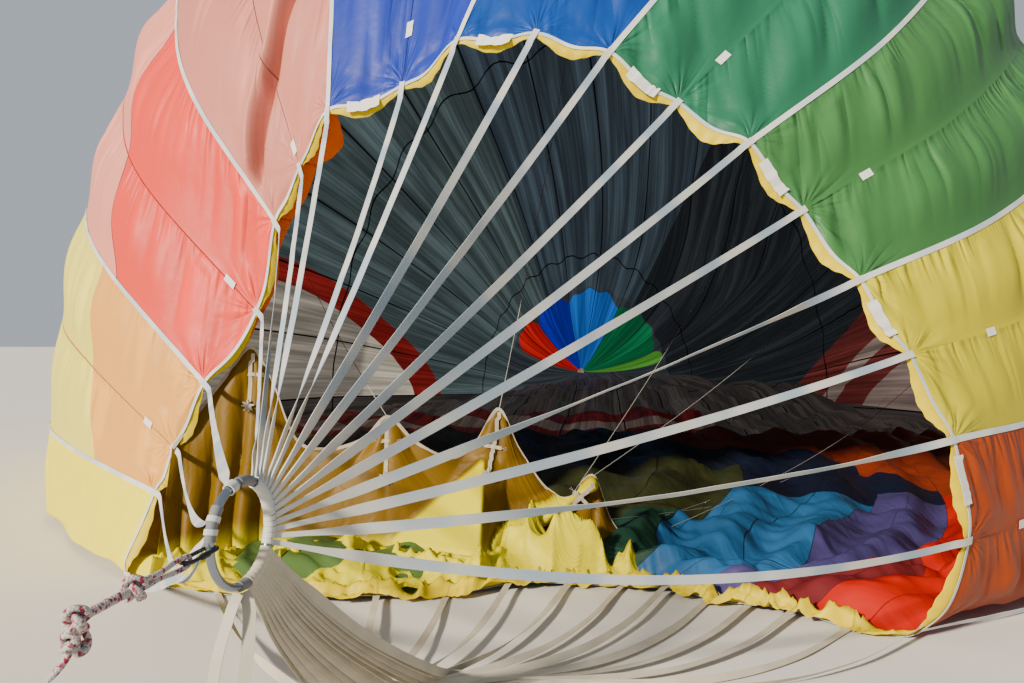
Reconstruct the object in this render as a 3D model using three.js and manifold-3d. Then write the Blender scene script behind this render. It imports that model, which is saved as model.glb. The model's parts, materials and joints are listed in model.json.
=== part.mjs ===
// Hot air balloon lying on its side on the ground, half full of air, with its vent open.
// Millimetres, +Z up, +Y from the crown towards the basket. The origin is the centre of the crown ring.
import * as THREE from "three";
import { mergeVertices } from "three/addons/utils/BufferGeometryUtils.js";
import Module from "manifold-3d";

const wasm = await Module();
wasm.setup();

const V = (x, y, z) => new THREE.Vector3(x, y, z);
const UP = V(0, 0, 1);
const RADIANS = Math.PI / 180;

// Driving dimensions
const FLOOR = -930; // the ground, below the centre of the crown ring
const GORES = 32; // seams, and load tapes, round the envelope
const GAP = 0.3; // between two pieces that touch
const CLOTH = 10; // wall of the envelope
const HEM_WIDTH = 70; // yellow binding round the vent
const RING_RADIUS = 157;
const RING_TUBE = 13;
const TAPE_WIDTH = 38;
const TAPE_THICKNESS = 3;
const CABLE_RADIUS = 6;
const BASKET_WIDTH = 1600; // along X
const BASKET_DEPTH = 1350; // along Z, because the basket lies on its side
const BASKET_HEIGHT = 1100; // along Y
const FRAME_PLANE = 25600; // Y of the load frame, and of the burner's pivots
const BASKET_TOP = 26700; // Y of the wicker's upper edge
const BASKET_X = 2850;
const BASKET_Z = FLOOR + BASKET_DEPTH / 2;

// Colours of the sixteen crown panels, clockwise from the top, seen from the crown
const PANELS = [
  ["violet", "#5a6fc4"],
  ["blue", "#2b86c8"],
  ["dark_green", "#3f8a64"],
  ["light_green", "#5f9a4e"],
  ["yellow", "#d8c440"],
  ["orange", "#d0642c"],
  ["red", "#c8382a"],
  ["maroon", "#a85a50"],
  ["violet_low", "#5a5488"],
  ["blue_low", "#4a82ac"],
  ["dark_green_low", "#2f6a44"],
  ["light_green_low", "#6a8a3c"],
  ["yellow_low", "#e8d050"],
  ["peach", "#f0a868"],
  ["coral", "#f08878"],
  ["rose", "#c88c80"],
];

// Vent rim, where each load tape crosses it: x, y and height above the floor, gore -7 to gore 12
const FIRST_RIM_GORE = -7;
const RIM = [
  [-1630, 2670, 50],
  [-1510, 2800, 530],
  [-1420, 2880, 814],
  [-1230, 2900, 1240],
  [-900, 2960, 1720],
  [-776, 2960, 2317],
  [-570, 2820, 2660],
  [-350, 2660, 2974],
  [133, 2580, 3106],
  [490, 2364, 3306],
  [951, 2240, 3298],
  [1371, 2170, 3163],
  [1761, 2175, 2877],
  [2138, 2060, 2619],
  [2422, 2030, 2236],
  [2689, 1917, 1840],
  [2888, 1776, 1437],
  [3025, 1617, 1013],
  [3047, 1525, 534],
  [2886, 1640, 60],
];
const LAST_RIM_GORE = FIRST_RIM_GORE + RIM.length - 1;
// The rest of the rim lies on the ground, gore 13 to gore 24: x and y
const GROUND_RIM = [
  [2620, 1790],
  [2390, 1950],
  [2210, 2110],
  [2010, 2230],
  [1780, 2350],
  [1540, 2470],
  [1220, 2520],
  [840, 2470],
  [440, 2360],
  [20, 2270],
  [-430, 2250],
  [-960, 2380],
];
const RIM_SAG = 45; // dip of the rim between two tapes

// Sections of the envelope: centre x and y, half width, yaw in degrees, height,
// first and last gore off the ground, and how far in gores the top is turned to the right
const SECTIONS = [
  [630, 2155, 2320, -12.8, 3300, -7, 12, 0],
  [800, 2950, 3350, -11, 4700, -7, 12, 0.9],
  [1000, 4000, 4350, -9, 6200, -6.8, 11.8, 1],
  [1200, 5600, 5200, -6, 7700, -6.6, 11.6, 1],
  [1500, 8100, 5900, -3, 8800, -6.4, 11.4, 0.9],
  [1800, 11100, 6000, 0, 8800, -6.3, 11.3, 0.8],
  [2200, 14100, 5200, 0, 7600, -6.3, 11.3, 0.6],
  [2600, 16600, 3700, 0, 5300, -6.3, 11.3, 0.4],
  [2800, 18800, 2200, 0, 2900, -6.3, 11.3, 0.2],
  [2850, 20800, 1250, 0, 1600, -6.3, 11.3, 0],
  [2850, 22600, 800, 0, 1150, -6.3, 11.3, 0],
];
const MOUTH = SECTIONS.length - 1;
const GROUND_CLEARANCE = 15;
const BUNCHING = 0.75; // how far the gores on the ground are gathered to the right
const GORE_BULGE = 0.07; // outward bulge of a gore, as a share of its width
const FOLD_HEIGHT = 90; // folds of the cloth that lies on the ground

// Rows of the mesh along the envelope, in sections
const CROWN_ROWS = [0, 0.35, 0.8, 1.4, 2.2, 3.2, 4.5];
const CREAM_ROWS = [4.5, 5.3, 6.1];
const GREY_ROWS = [6.1, 6.7, 7.35, 8];
const MOUTH_ROWS = [8, 8.6, 9.3, MOUTH];

// Uniform Catmull-Rom value between b and c
function spline(a, b, c, d, s) {
  const cubic = (p, q, r, w) =>
    q + 0.5 * s * (r - p + s * (2 * p - 5 * q + 4 * r - w + s * (3 * (q - r) + w - p)));
  return V(cubic(a.x, b.x, c.x, d.x), cubic(a.y, b.y, c.y, d.y), cubic(a.z, b.z, c.z, d.z));
}

function wrapGore(gore) {
  const turned = (gore - FIRST_RIM_GORE) % GORES;
  return FIRST_RIM_GORE + (turned < 0 ? turned + GORES : turned);
}

// Point of the rim at a seam
function rimKnot(gore) {
  const g = wrapGore(gore);
  if (g <= LAST_RIM_GORE) {
    const [x, y, height] = RIM[g - FIRST_RIM_GORE];
    return V(x, y, FLOOR + height);
  }
  const [x, y] = GROUND_RIM[g - LAST_RIM_GORE - 1];
  return V(x, y, FLOOR + 35 + 20 * Math.sin(2.3 * g));
}

function rimPoint(gore) {
  const g = wrapGore(gore);
  const k = Math.floor(g);
  const s = g - k;
  const point = spline(rimKnot(k - 1), rimKnot(k), rimKnot(k + 1), rimKnot(k + 2), s);
  if (g < LAST_RIM_GORE) point.z -= RIM_SAG * Math.sin(Math.PI * s) ** 2;
  point.z = Math.max(point.z, FLOOR + GROUND_CLEARANCE);
  return point;
}

// Point of one section at a gore: an arch over the ground, closed by cloth that lies on it
function sectionPoint(index, gore) {
  if (index <= 0) return rimPoint(gore);
  const [cx, cy, half, yaw, height, first, last, twist] = SECTIONS[Math.min(index, MOUTH)];
  let g = wrapGore(gore);
  if (g < first) g += GORES;
  const turn = yaw * RADIANS;
  let across;
  let rise;
  if (g <= last) {
    const s = (g - first) / (last - first);
    const squeeze = -0.1 - 0.25 * s; // the lower gores stay close to the ground
    const turned = (twist * Math.sin(Math.PI * s) ** 4) / (last - first);
    const angle = Math.PI * (s + turned + (squeeze * Math.sin(2 * Math.PI * s)) / (2 * Math.PI));
    const bulge = 1 + (GORE_BULGE / 2) * (Math.sin(Math.PI * g) ** 2) * Math.sin(angle);
    across = -Math.cos(angle) * half * bulge;
    rise = Math.sin(angle) * (height - GROUND_CLEARANCE) * bulge;
  } else {
    const s = (g - last) / (GORES - (last - first));
    const gathered = BUNCHING * Math.min(1, half / 3000);
    across = half * (1 - 2 * s * (1 - gathered * (1 - s)));
    const ends = Math.min(1, 6 * s, 6 * (1 - s));
    const foldHeight = Math.min(FOLD_HEIGHT, (half / 20) * (1 - gathered * (1 - 2 * s)));
    rise = foldHeight * ends * Math.sin(Math.PI * g) ** 2;
  }
  return V(
    cx + across * Math.cos(turn),
    cy + across * Math.sin(turn),
    FLOOR + GROUND_CLEARANCE + rise,
  );
}

// Point of the envelope's inside at a gore and a row
function skin(gore, row) {
  const k = Math.min(Math.floor(Math.max(row, 0)), MOUTH - 1);
  const before = k > 0 ? sectionPoint(k - 1, gore) : null;
  const here = sectionPoint(k, gore);
  const next = sectionPoint(k + 1, gore);
  const after = k + 2 <= MOUTH ? sectionPoint(k + 2, gore) : null;
  const first = before ?? here.clone().multiplyScalar(2).sub(next);
  const last = after ?? next.clone().multiplyScalar(2).sub(here);
  return spline(first, here, next, last, row - k);
}

// Normal towards the air inside, and the directions along the seams and round the envelope
function skinFrame(gore, row) {
  const low = Math.max(row - 0.05, 0);
  const high = Math.min(row + 0.05, MOUTH);
  const along = skin(gore, high).sub(skin(gore, low)).normalize();
  const round = skin(gore + 0.5, row).sub(skin(gore - 0.5, row)).normalize();
  const normal = along.clone().cross(round).normalize();
  return { along, round, normal };
}

// Geometry of vertices and faces of three or four corners
function solidFrom(points, faces) {
  const geometry = new THREE.BufferGeometry();
  geometry.setAttribute(
    "position",
    new THREE.Float32BufferAttribute(points.flatMap((p) => [p.x, p.y, p.z]), 3),
  );
  geometry.setIndex(faces.flatMap((f) => (f.length === 4 ? [f[0], f[1], f[2], f[0], f[2], f[3]] : f)));
  return geometry;
}

// Closed sheet between an inside and an outside grid of points, grid[row][column]
function sheetSolid(inside, outside) {
  const rows = inside.length;
  const columns = inside[0].length;
  const points = [...inside.flat(), ...outside.flat()];
  const at = (side, r, c) => side * rows * columns + r * columns + c;
  const faces = [];
  for (let r = 0; r < rows - 1; r++) {
    for (let c = 0; c < columns - 1; c++) {
      faces.push([at(0, r, c), at(0, r + 1, c), at(0, r + 1, c + 1), at(0, r, c + 1)]);
      faces.push([at(1, r, c), at(1, r, c + 1), at(1, r + 1, c + 1), at(1, r + 1, c)]);
    }
  }
  for (let r = 0; r < rows - 1; r++) {
    faces.push([at(0, r, 0), at(1, r, 0), at(1, r + 1, 0), at(0, r + 1, 0)]);
    const c = columns - 1;
    faces.push([at(0, r, c), at(0, r + 1, c), at(1, r + 1, c), at(1, r, c)]);
  }
  for (let c = 0; c < columns - 1; c++) {
    faces.push([at(0, 0, c), at(0, 0, c + 1), at(1, 0, c + 1), at(1, 0, c)]);
    const r = rows - 1;
    faces.push([at(0, r, c), at(1, r, c), at(1, r, c + 1), at(0, r, c + 1)]);
  }
  return solidFrom(points, faces);
}

// Panel of the envelope between two gores and over some rows, with half a gap to each neighbour
function panel(firstGore, lastGore, rows, step = 0.5) {
  const inside = [];
  const outside = [];
  for (const row of rows) {
    const insideLine = [];
    const outsideLine = [];
    for (let g = firstGore; g <= lastGore + 1e-6; g += step) {
      const { along, round, normal } = skinFrame(g, row);
      const point = skin(g, row);
      if (g === firstGore) point.addScaledVector(round, GAP / 2);
      if (g === lastGore) point.addScaledVector(round, -GAP / 2);
      if (row === rows[0]) point.addScaledVector(along, GAP / 2);
      if (row === rows[rows.length - 1]) point.addScaledVector(along, -GAP / 2);
      insideLine.push(point);
      outsideLine.push(point.clone().addScaledVector(normal, -CLOTH));
    }
    inside.push(insideLine);
    outside.push(outsideLine);
  }
  return sheetSolid(inside, outside);
}

// Closed strip that carries on from one end of the envelope, and the same strip grown on every side
function hem(row, outwards, grown = 0) {
  const ring = { near: [], far: [] };
  for (let g = 0; g < GORES; g += 0.5) {
    const { along, normal } = skinFrame(g, row);
    const away = along.clone().multiplyScalar(outwards);
    const near = skin(g, row).addScaledVector(away, 2.5 * GAP - grown);
    const far = near.clone().addScaledVector(away, HEM_WIDTH + 2 * grown);
    for (const [side, edge] of [[ring.near, near], [ring.far, far]]) {
      const inside = edge.clone().addScaledVector(normal, grown);
      side.push([inside, inside.clone().addScaledVector(normal, -CLOTH - 2 * grown)]);
    }
  }
  const count = ring.near.length;
  const points = [];
  for (let i = 0; i < count; i++) points.push(...ring.near[i], ...ring.far[i]);
  const faces = [];
  const quad = (a, b, c, d) => faces.push(outwards > 0 ? [a, b, c, d] : [d, c, b, a]);
  for (let i = 0; i < count; i++) {
    const a = i * 4;
    const b = ((i + 1) % count) * 4;
    quad(a, a + 2, b + 2, b);
    quad(a + 3, a + 1, b + 1, b + 3);
    quad(a + 2, a + 3, b + 3, b + 2);
    quad(a + 1, a, b, b + 1);
  }
  return solidFrom(points, faces);
}

// Point at a hem's free edge at a seam, clear of the edge over a half width, with its directions
function hemEdge(gore, row, outwards, halfWidth) {
  const { along, round, normal } = skinFrame(gore, row);
  const edgeAt = (g) => {
    const frame = skinFrame(g, row);
    const edge = skin(g, row).addScaledVector(frame.along, outwards * (HEM_WIDTH + 2.5 * GAP));
    return edge.addScaledVector(frame.normal, -CLOTH / 2);
  };
  const point = edgeAt(gore);
  const rises = [-0.5, 0.5].map((side) => {
    const step = edgeAt(gore + side).sub(point);
    return (outwards * step.dot(along) * halfWidth) / Math.abs(step.dot(round));
  });
  point.addScaledVector(along, outwards * (2 * GAP + Math.max(0, ...rises)));
  return { point, round, normal };
}

// Last station of a tape or cable, turned flat against the hem that it ends on and not mirrored
function flatOnHem({ point, side, top }, edge) {
  const towards = (direction, like) => direction.clone().multiplyScalar(direction.dot(like) < 0 ? -1 : 1);
  const flatSide = towards(edge.round, side);
  const ahead = flatSide.clone().cross(edge.normal);
  const mirrored = ahead.dot(side.clone().cross(top)) < 0;
  return { point, side: flatSide, top: edge.normal.clone().multiplyScalar(mirrored ? -1 : 1) };
}

// Sweep of one outline through stations { point, side, top }, closed at both ends
function sweep(stations, outline) {
  const count = outline.length;
  const points = stations.flatMap(({ point, side, top }) =>
    outline.map(([s, t]) => point.clone().addScaledVector(side, s).addScaledVector(top, t)),
  );
  const faces = [];
  for (let k = 0; k < stations.length - 1; k++) {
    for (let i = 0; i < count; i++) {
      const [a, b] = [k * count + i, k * count + ((i + 1) % count)];
      // both broad faces of a twisted tape are split along the same diagonal, so they don't cross
      faces.push(2 * i < count ? [a, b, b + count, a + count] : [b, b + count, a + count, a]);
    }
  }
  const end = (stations.length - 1) * count;
  for (let i = 1; i < count - 1; i++) {
    faces.push([0, i + 1, i]);
    faces.push([end, end + i, end + i + 1]);
  }
  return outwardFacing(solidFrom(points, faces));
}

// Turns a closed geometry the right way out
function outwardFacing(geometry) {
  const position = geometry.getAttribute("position");
  const index = geometry.getIndex().array;
  const corner = (i) => V().fromBufferAttribute(position, index[i]);
  let volume = 0;
  for (let i = 0; i < index.length; i += 3) {
    volume += corner(i).dot(corner(i + 1).cross(corner(i + 2)));
  }
  if (volume < 0) {
    for (let i = 0; i < index.length; i += 3) [index[i + 1], index[i + 2]] = [index[i + 2], index[i + 1]];
  }
  return geometry;
}

const circle = (radius, sides) =>
  Array.from({ length: sides }, (_, i) => {
    const angle = (2 * Math.PI * (i + 0.5)) / sides;
    return [radius * Math.cos(angle), radius * Math.sin(angle)];
  });
const rectangle = (width, height) => [
  [-width / 2, -height / 2],
  [width / 2, -height / 2],
  [width / 2, height / 2],
  [-width / 2, height / 2],
];

// Stations along a line of points, with the side kept level
function stationsAlong(line) {
  return line.map((point, i) => {
    const ahead = line[Math.min(i + 1, line.length - 1)].clone();
    const direction = ahead.sub(line[Math.max(i - 1, 0)]).normalize();
    const level = Math.abs(direction.z) > 0.95 ? V(1, 0, 0) : UP;
    const side = direction.clone().cross(level).normalize();
    return { point, side, top: side.clone().cross(direction).normalize() };
  });
}
const rod = (line, radius, sides = 8) => sweep(stationsAlong(line), circle(radius, sides));

// Manifold solids, for joining and cutting
function toManifold(geometry) {
  const bare = geometry.index ? geometry.toNonIndexed() : geometry.clone();
  for (const name of Object.keys(bare.attributes)) {
    if (name !== "position") bare.deleteAttribute(name);
  }
  const merged = mergeVertices(bare, 1e-3);
  return new wasm.Manifold(
    new wasm.Mesh({
      numProp: 3,
      vertProperties: merged.attributes.position.array,
      triVerts: new Uint32Array(merged.index.array),
    }),
  );
}

const FINEST_EDGE = 0.05; // corners nearer than this after a cut or join become one
function fromManifold(solid) {
  const mesh = solid.simplify(FINEST_EDGE).getMesh();
  const geometry = new THREE.BufferGeometry();
  const stride = mesh.numProp;
  const count = mesh.vertProperties.length / stride;
  const position = new Float32Array(count * 3);
  for (let i = 0; i < count; i++) {
    for (let k = 0; k < 3; k++) position[i * 3 + k] = mesh.vertProperties[i * stride + k];
  }
  geometry.setAttribute("position", new THREE.BufferAttribute(position, 3));
  geometry.setIndex(new THREE.BufferAttribute(new Uint32Array(mesh.triVerts), 1));
  return withoutSlivers(mergeVertices(geometry, FINEST_EDGE));
}

// Drops the triangles that have two corners in one place
function withoutSlivers(geometry) {
  const index = geometry.getIndex().array;
  const kept = [];
  for (let i = 0; i < index.length; i += 3) {
    const [a, b, c] = index.slice(i, i + 3);
    if (a !== b && b !== c && c !== a) kept.push(a, b, c);
  }
  geometry.setIndex(kept);
  return geometry;
}

// A shape is either a geometry or such a solid
const solidOf = (shape) => (shape.isBufferGeometry ? toManifold(shape) : shape);
const geometryOf = (shape) => (shape.isBufferGeometry ? shape : fromManifold(shape));
const joined = (shapes) => shapes.map(solidOf).reduce((whole, next) => whole.add(next));
const largest = (solids) => solids.reduce((best, next) => (next.volume() > best.volume() ? next : best));
const cutBy = (shape, ...cutters) => {
  const rest = cutters.map(solidOf).reduce((whole, next) => whole.subtract(next), solidOf(shape));
  return largest(rest.decompose());
};
const placed = (shape, x, y, z) =>
  shape.isBufferGeometry ? shape.translate(x, y, z) : shape.translate([x, y, z]);
const box = (x, y, z) => new THREE.BoxGeometry(x, y, z);
const drum = (radius, length, sides) => new THREE.CylinderGeometry(radius, radius, length, sides);

const balloon = new THREE.Group();
balloon.name = "hot_air_balloon";
function addPiece(name, shape, colour, roughness = 0.8, metalness = 0) {
  const material = new THREE.MeshStandardMaterial({ color: colour, roughness, metalness });
  const mesh = new THREE.Mesh(geometryOf(shape), material);
  mesh.name = name;
  balloon.add(mesh);
}

// Envelope: sixteen coloured crown panels, two plain bands and the rainbow round the mouth
function addEnvelope() {
  PANELS.forEach(([colourName, colour], i) => {
    addPiece(`crown_panel_${colourName}`, panel(2 * i, 2 * i + 2, CROWN_ROWS), colour);
  });
  const bands = [
    ["cream_band", CREAM_ROWS, "#e6dccb"],
    ["grey_band", GREY_ROWS, "#9aa3a6"],
    ["mouth_band", MOUTH_ROWS, "#4f9a58"],
  ];
  const sides = [
    ["left", -6, 0],
    ["top", 0, 5],
    ["right", 5, 11],
    ["floor", 11, 26],
  ];
  for (const [name, rows, colour] of bands) {
    for (const [side, first, last] of sides) addPiece(`${name}_${side}`, panel(first, last, rows), colour);
  }
  addPiece("vent_hem", hem(0, -1), "#e0c030");
  addPiece("mouth_hem", hem(MOUTH, 1), "#c03028");
}

// Crown ring: it stands on edge, and its far side points along RING_AWAY
const RING_AWAY = V(0.243, 0.97, 0).normalize();
const RING_NORMAL = RING_AWAY.clone().cross(UP);
const SLEEVE = RING_TUBE + 5;
const ringPoint = (degrees, radius = RING_RADIUS) =>
  V(0, 0, 0)
    .addScaledVector(RING_AWAY, radius * Math.cos(degrees * RADIANS))
    .addScaledVector(UP, radius * Math.sin(degrees * RADIANS));

function ringArc(fromDegrees, toDegrees, tube, steps) {
  const stations = [];
  for (let i = 0; i <= steps; i++) {
    const degrees = fromDegrees + ((toDegrees - fromDegrees) * i) / steps;
    const outwards = ringPoint(degrees).normalize();
    stations.push({ point: ringPoint(degrees), side: outwards, top: RING_NORMAL });
  }
  return sweep(stations, circle(tube, 10));
}

function ringSolid(tube) {
  const ring = new THREE.TorusGeometry(RING_RADIUS, tube, 10, 36);
  const basis = new THREE.Matrix4().makeBasis(RING_AWAY, UP, RING_NORMAL);
  return ring.applyMatrix4(basis);
}

// Point in the wall of the sleeve round the ring, on the side that faces a target
function sleevePoint(degrees, target) {
  const centre = ringPoint(degrees);
  const tangent = RING_NORMAL.clone().cross(centre).normalize();
  const towards = target.clone().sub(centre);
  towards.addScaledVector(tangent, -tangent.dot(towards)).normalize();
  return centre.addScaledVector(towards, RING_TUBE + 3.2);
}

// Load tapes over the vent: gore, place on the ring in degrees, sag in mm; on the ground past the last
const FRONT_TAPES = [
  [-3, 62, 90],
  [-2, 57, 70],
  [-1, 52, 60],
  [0, 47, 40],
  [1, 42, 60],
  [2, 37, 30],
  [3, 31, 25],
  [4, 25, 20],
  [5, 19, 20],
  [6, 13, 20],
  [7, 6, 20],
  [8, -1, 25],
  [9, -8, 40],
  [10, -15, 60],
  [11, -22, 150],
];
const LEFT_TAPES = [
  [-4, 108, 60],
  [-5, 113, 250],
];
const LOW_LEFT_TAPES = [
  [-6, 153, 330],
  [-7, 166, 120],
];
const GROUND_TAPES = [12, 13, 14, 15, 16, 17, 18, 19, 20, 21, 22, 23, 24];

// Stations of a tape: it leaves the ring folded narrow, and it ends flat on the hem
function tapeStations(line, last) {
  const stations = stationsAlong(line);
  const count = stations.length - 1;
  for (let i = 0; i <= count; i++) {
    const share = i / count;
    const direction = line[Math.min(i + 1, count)].clone().sub(line[Math.max(i - 1, 0)]).normalize();
    const turned = stations[i].side.dot(last.round) < 0 ? -1 : 1;
    const side = stations[i].side.clone().multiplyScalar(1 - share);
    side.addScaledVector(last.round, turned * share);
    side.addScaledVector(direction, -direction.dot(side)).normalize();
    const top = side.clone().cross(direction).normalize();
    if (i === 0) side.multiplyScalar(FOLDED_SHARE);
    stations[i] = { point: line[i], side, top };
  }
  stations[count] = flatOnHem(stations[count], last);
  return stations;
}

const FOLDED_SHARE = 0.24; // width of a tape at the ring, as a share of its full width
const FOLDED_REACH = 0.08; // share of its length over which it opens out

function hangingTape(gore, degrees, sag) {
  const edge = hemEdge(gore, 0, -1, TAPE_WIDTH / 2);
  const start = sleevePoint(degrees, edge.point);
  const steps = sag > 100 ? 6 : 3;
  const shares = [0, FOLDED_REACH];
  for (let i = 1; i <= steps; i++) shares.push(i / steps);
  const line = shares.map((s) => {
    const point = start.clone().lerp(edge.point, s);
    point.z -= 4 * sag * s * (1 - s);
    return point;
  });
  return sweep(tapeStations(line, edge), rectangle(TAPE_WIDTH, TAPE_THICKNESS));
}

// A slack tape: down from the ring to the ground, then in a curve along it to the rim
function groundTape(gore) {
  const order = gore - GROUND_TAPES[0];
  const share = order / (GROUND_TAPES.length - 1);
  const edge = hemEdge(gore, 0, -1, TAPE_WIDTH / 2);
  const landing = V(620 - 560 * share, 1180 - 420 * share, FLOOR + 14 + 5 * order);
  const start = sleevePoint(-31 - 46 * share, landing);
  const line = [start];
  for (const s of [0.14, 0.4, 0.75]) {
    const point = start.clone().lerp(landing, s);
    point.z -= (380 - 240 * share) * s * (1 - s);
    line.push(point);
  }
  for (const s of [0, 0.25, 0.5, 0.75]) {
    const point = landing.clone().lerp(edge.point, s);
    point.x += 150 * (1 - share) * Math.sin(Math.PI * s);
    point.y -= (330 - 160 * share) * Math.sin(Math.PI * s);
    point.z = landing.z + (edge.point.z - landing.z) * s * s;
    line.push(point);
  }
  line.push(edge.point);
  return sweep(tapeStations(line, edge), rectangle(TAPE_WIDTH, TAPE_THICKNESS));
}

function addCrown() {
  addPiece("crown_ring", ringSolid(RING_TUBE), "#a9adb0", 0.35, 0.9);
  const ringRoom = ringSolid(RING_TUBE + GAP);
  const groups = [
    ["front", -25, 68, 11, FRONT_TAPES.map((row) => hangingTape(...row))],
    ["ground", -81, -25.5, 7, GROUND_TAPES.map(groundTape)],
    ["top_left", 102, 119, 3, LEFT_TAPES.map((row) => hangingTape(...row))],
    ["low_left", 142, 176, 4, LOW_LEFT_TAPES.map((row) => hangingTape(...row))],
  ];
  for (const [name, from, to, steps, tapes] of groups) {
    const sleeve = cutBy(ringArc(from, to, SLEEVE, steps), ringRoom);
    addPiece(`load_tapes_${name}`, cutBy(joined([sleeve, ...tapes]), ringRoom), "#d9d6cc");
  }
}

// Crown line: a steel karabiner on the ring, then a knotted rope that the ground crew holds
const LINE_DEGREES = 183; // place of the karabiner on the ring
const KARABINER_WIRE = 6;
const KARABINER_HALF = 19; // half its inner width, to the wire's centre
const KARABINER_LENGTH = 105;
const ROPE = 7.5;
const LINE_PULL = V(-0.2, -0.97, -0.05).normalize();
const KNOT_NEAR = 320; // distances from the ring
const KNOT_FAR = 510;

// Closed loop of wire: two straight sides and two half circles
function link(centre, along, across, length, half, wire, sides) {
  const normal = along.clone().cross(across);
  const loop = [];
  const steps = 6;
  for (let end = 0; end < 2; end++) {
    const sign = end === 0 ? 1 : -1;
    for (let i = 0; i <= steps; i++) {
      const angle = -Math.PI / 2 + (Math.PI * i) / steps;
      const outwards = along
        .clone()
        .multiplyScalar(sign * Math.cos(angle))
        .addScaledVector(across, sign * Math.sin(angle));
      const point = centre.clone().addScaledVector(along, (sign * length) / 2);
      loop.push({ point: point.addScaledVector(outwards, half), outwards });
    }
  }
  const outline = circle(wire, sides);
  const points = loop.flatMap(({ point, outwards }) =>
    outline.map(([s, t]) => point.clone().addScaledVector(outwards, s).addScaledVector(normal, t)),
  );
  const faces = [];
  for (let k = 0; k < loop.length; k++) {
    const next = (k + 1) % loop.length;
    for (let i = 0; i < sides; i++) {
      const j = (i + 1) % sides;
      faces.push([k * sides + i, k * sides + j, next * sides + j, next * sides + i]);
    }
  }
  return outwardFacing(solidFrom(points, faces));
}

function lump(centre, rx, ry, rz) {
  return new THREE.SphereGeometry(1, 10, 7).scale(rx, ry, rz).translate(centre.x, centre.y, centre.z);
}

function addCrownLine() {
  const seat = ringPoint(LINE_DEGREES, RING_RADIUS);
  const along = LINE_PULL.clone();
  const tangent = RING_NORMAL.clone().cross(ringPoint(LINE_DEGREES, 1)).normalize();
  const across = along.clone().cross(tangent).normalize();
  const shift = KARABINER_LENGTH / 2 + KARABINER_HALF - RING_TUBE - KARABINER_WIRE - 0.8;
  const centre = seat.clone().addScaledVector(along, shift);
  const karabiner = (wire) => link(centre, along, across, KARABINER_LENGTH, KARABINER_HALF, wire, 8);
  addPiece("crown_karabiner", karabiner(KARABINER_WIRE), "#3a3d42", 0.4, 0.9);
  const reach = KARABINER_LENGTH / 2 + KARABINER_HALF - KARABINER_WIRE - ROPE - GAP;
  const bend = centre.clone().addScaledVector(along, reach);
  const at = (distance) => seat.clone().addScaledVector(LINE_PULL, distance);
  const eyeHalf = 13;
  const eyeStart = bend.distanceTo(seat);
  const eyeLength = KNOT_NEAR - eyeStart - 2 * eyeHalf;
  const eyeCentre = at(eyeStart + eyeHalf + eyeLength / 2);
  const normal = LINE_PULL.clone().cross(across).normalize();
  const lowKnot = at(KNOT_FAR).add(V(-8, 10, -52));
  const tail = lowKnot.clone().add(V(-40, -25, -60));
  const line = joined([
    link(eyeCentre, LINE_PULL, normal, eyeLength, eyeHalf, ROPE, 8),
    lump(at(KNOT_NEAR), 30, 36, 31),
    rod([at(KNOT_NEAR), at(KNOT_FAR)], 11),
    lump(at(KNOT_FAR), 30, 34, 28),
    lump(lowKnot, 36, 34, 30),
    rod([lowKnot, tail], ROPE),
  ]);
  addPiece("crown_line", cutBy(line, karabiner(KARABINER_WIRE + GAP)), "#c0a0a0");
}

// Vent parachute: it hangs like a curtain from its edge, which its lines hold up in peaks,
// and the rest of it lies on the ground towards the rim. Edge: x, y and height
const PARACHUTE_EDGE = [
  [-1416, 2840, 816],
  [-1270, 2960, 1080],
  [-1120, 3000, 1290],
  [-960, 3040, 1480],
  [-820, 3060, 1230],
  [-650, 3050, 850],
  [-440, 3040, 790],
  [-200, 3040, 860],
  [-30, 3040, 1010],
  [170, 3050, 830],
  [400, 3060, 730],
  [560, 3070, 830],
  [720, 3070, 1060],
  [860, 3060, 790],
  [1050, 3030, 520],
  [1200, 3000, 500],
  [1357, 2960, 620],
  [1470, 2940, 330],
  [1600, 2900, 170],
];
const PARACHUTE_REST = 150; // height of the cloth that lies on the folds of the floor
const PARACHUTE_CLOTH = 12;

function parachuteRows([x, y, height], column) {
  const fold = column % 2 === 0 ? 1 : -1;
  const wall = [0, 0.3, 0.65].map((s) =>
    V(x, y - 230 * s - 25 * fold * s, FLOOR + height + (PARACHUTE_REST - height) * s),
  );
  const apron = [0, 0.5, 1].map((s) =>
    V(x + 60 * s * fold, y - 260 - 230 * s, FLOOR + PARACHUTE_REST + 40 * (s === 0.5 ? fold : -0.4)),
  );
  return [...wall, ...apron];
}

function addParachute() {
  const outer = PARACHUTE_EDGE.map(parachuteRows);
  const inner = outer.map((line, c) =>
    line.map((point, r) => {
      const across = outer[Math.min(c + 1, outer.length - 1)][r].clone().sub(outer[Math.max(c - 1, 0)][r]);
      const down = line[Math.min(r + 1, line.length - 1)].clone().sub(line[Math.max(r - 1, 0)]);
      return point.clone().addScaledVector(across.cross(down).normalize(), PARACHUTE_CLOTH);
    }),
  );
  const cloth = outwardFacing(sheetSolid(outer, inner));
  addPiece("vent_parachute", cutBy(cloth, hem(0, -1, GAP)), "#d8b020");
}

// Flying cables: four steel cables from each corner of the load frame to the mouth
const FRAME_HALF_X = 620;
const FRAME_HALF_Z = 520;
const FRAME_BAR = 40;
const LUG_LENGTH = 60;
const SHACKLE_WIDTH = 64; // block that holds the four cables of a corner
const SHACKLE_LENGTH = 44;
const CABLE_SPACING = 15;
const CABLE_CORNERS = [
  ["top_left", -1, 1, [-4, -2, 0, 2]],
  ["top_right", 1, 1, [4, 6, 8, 10]],
  ["bottom_right", 1, -1, [12, 14, 16, 18]],
  ["bottom_left", -1, -1, [20, 22, 24, 26]],
];

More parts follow.
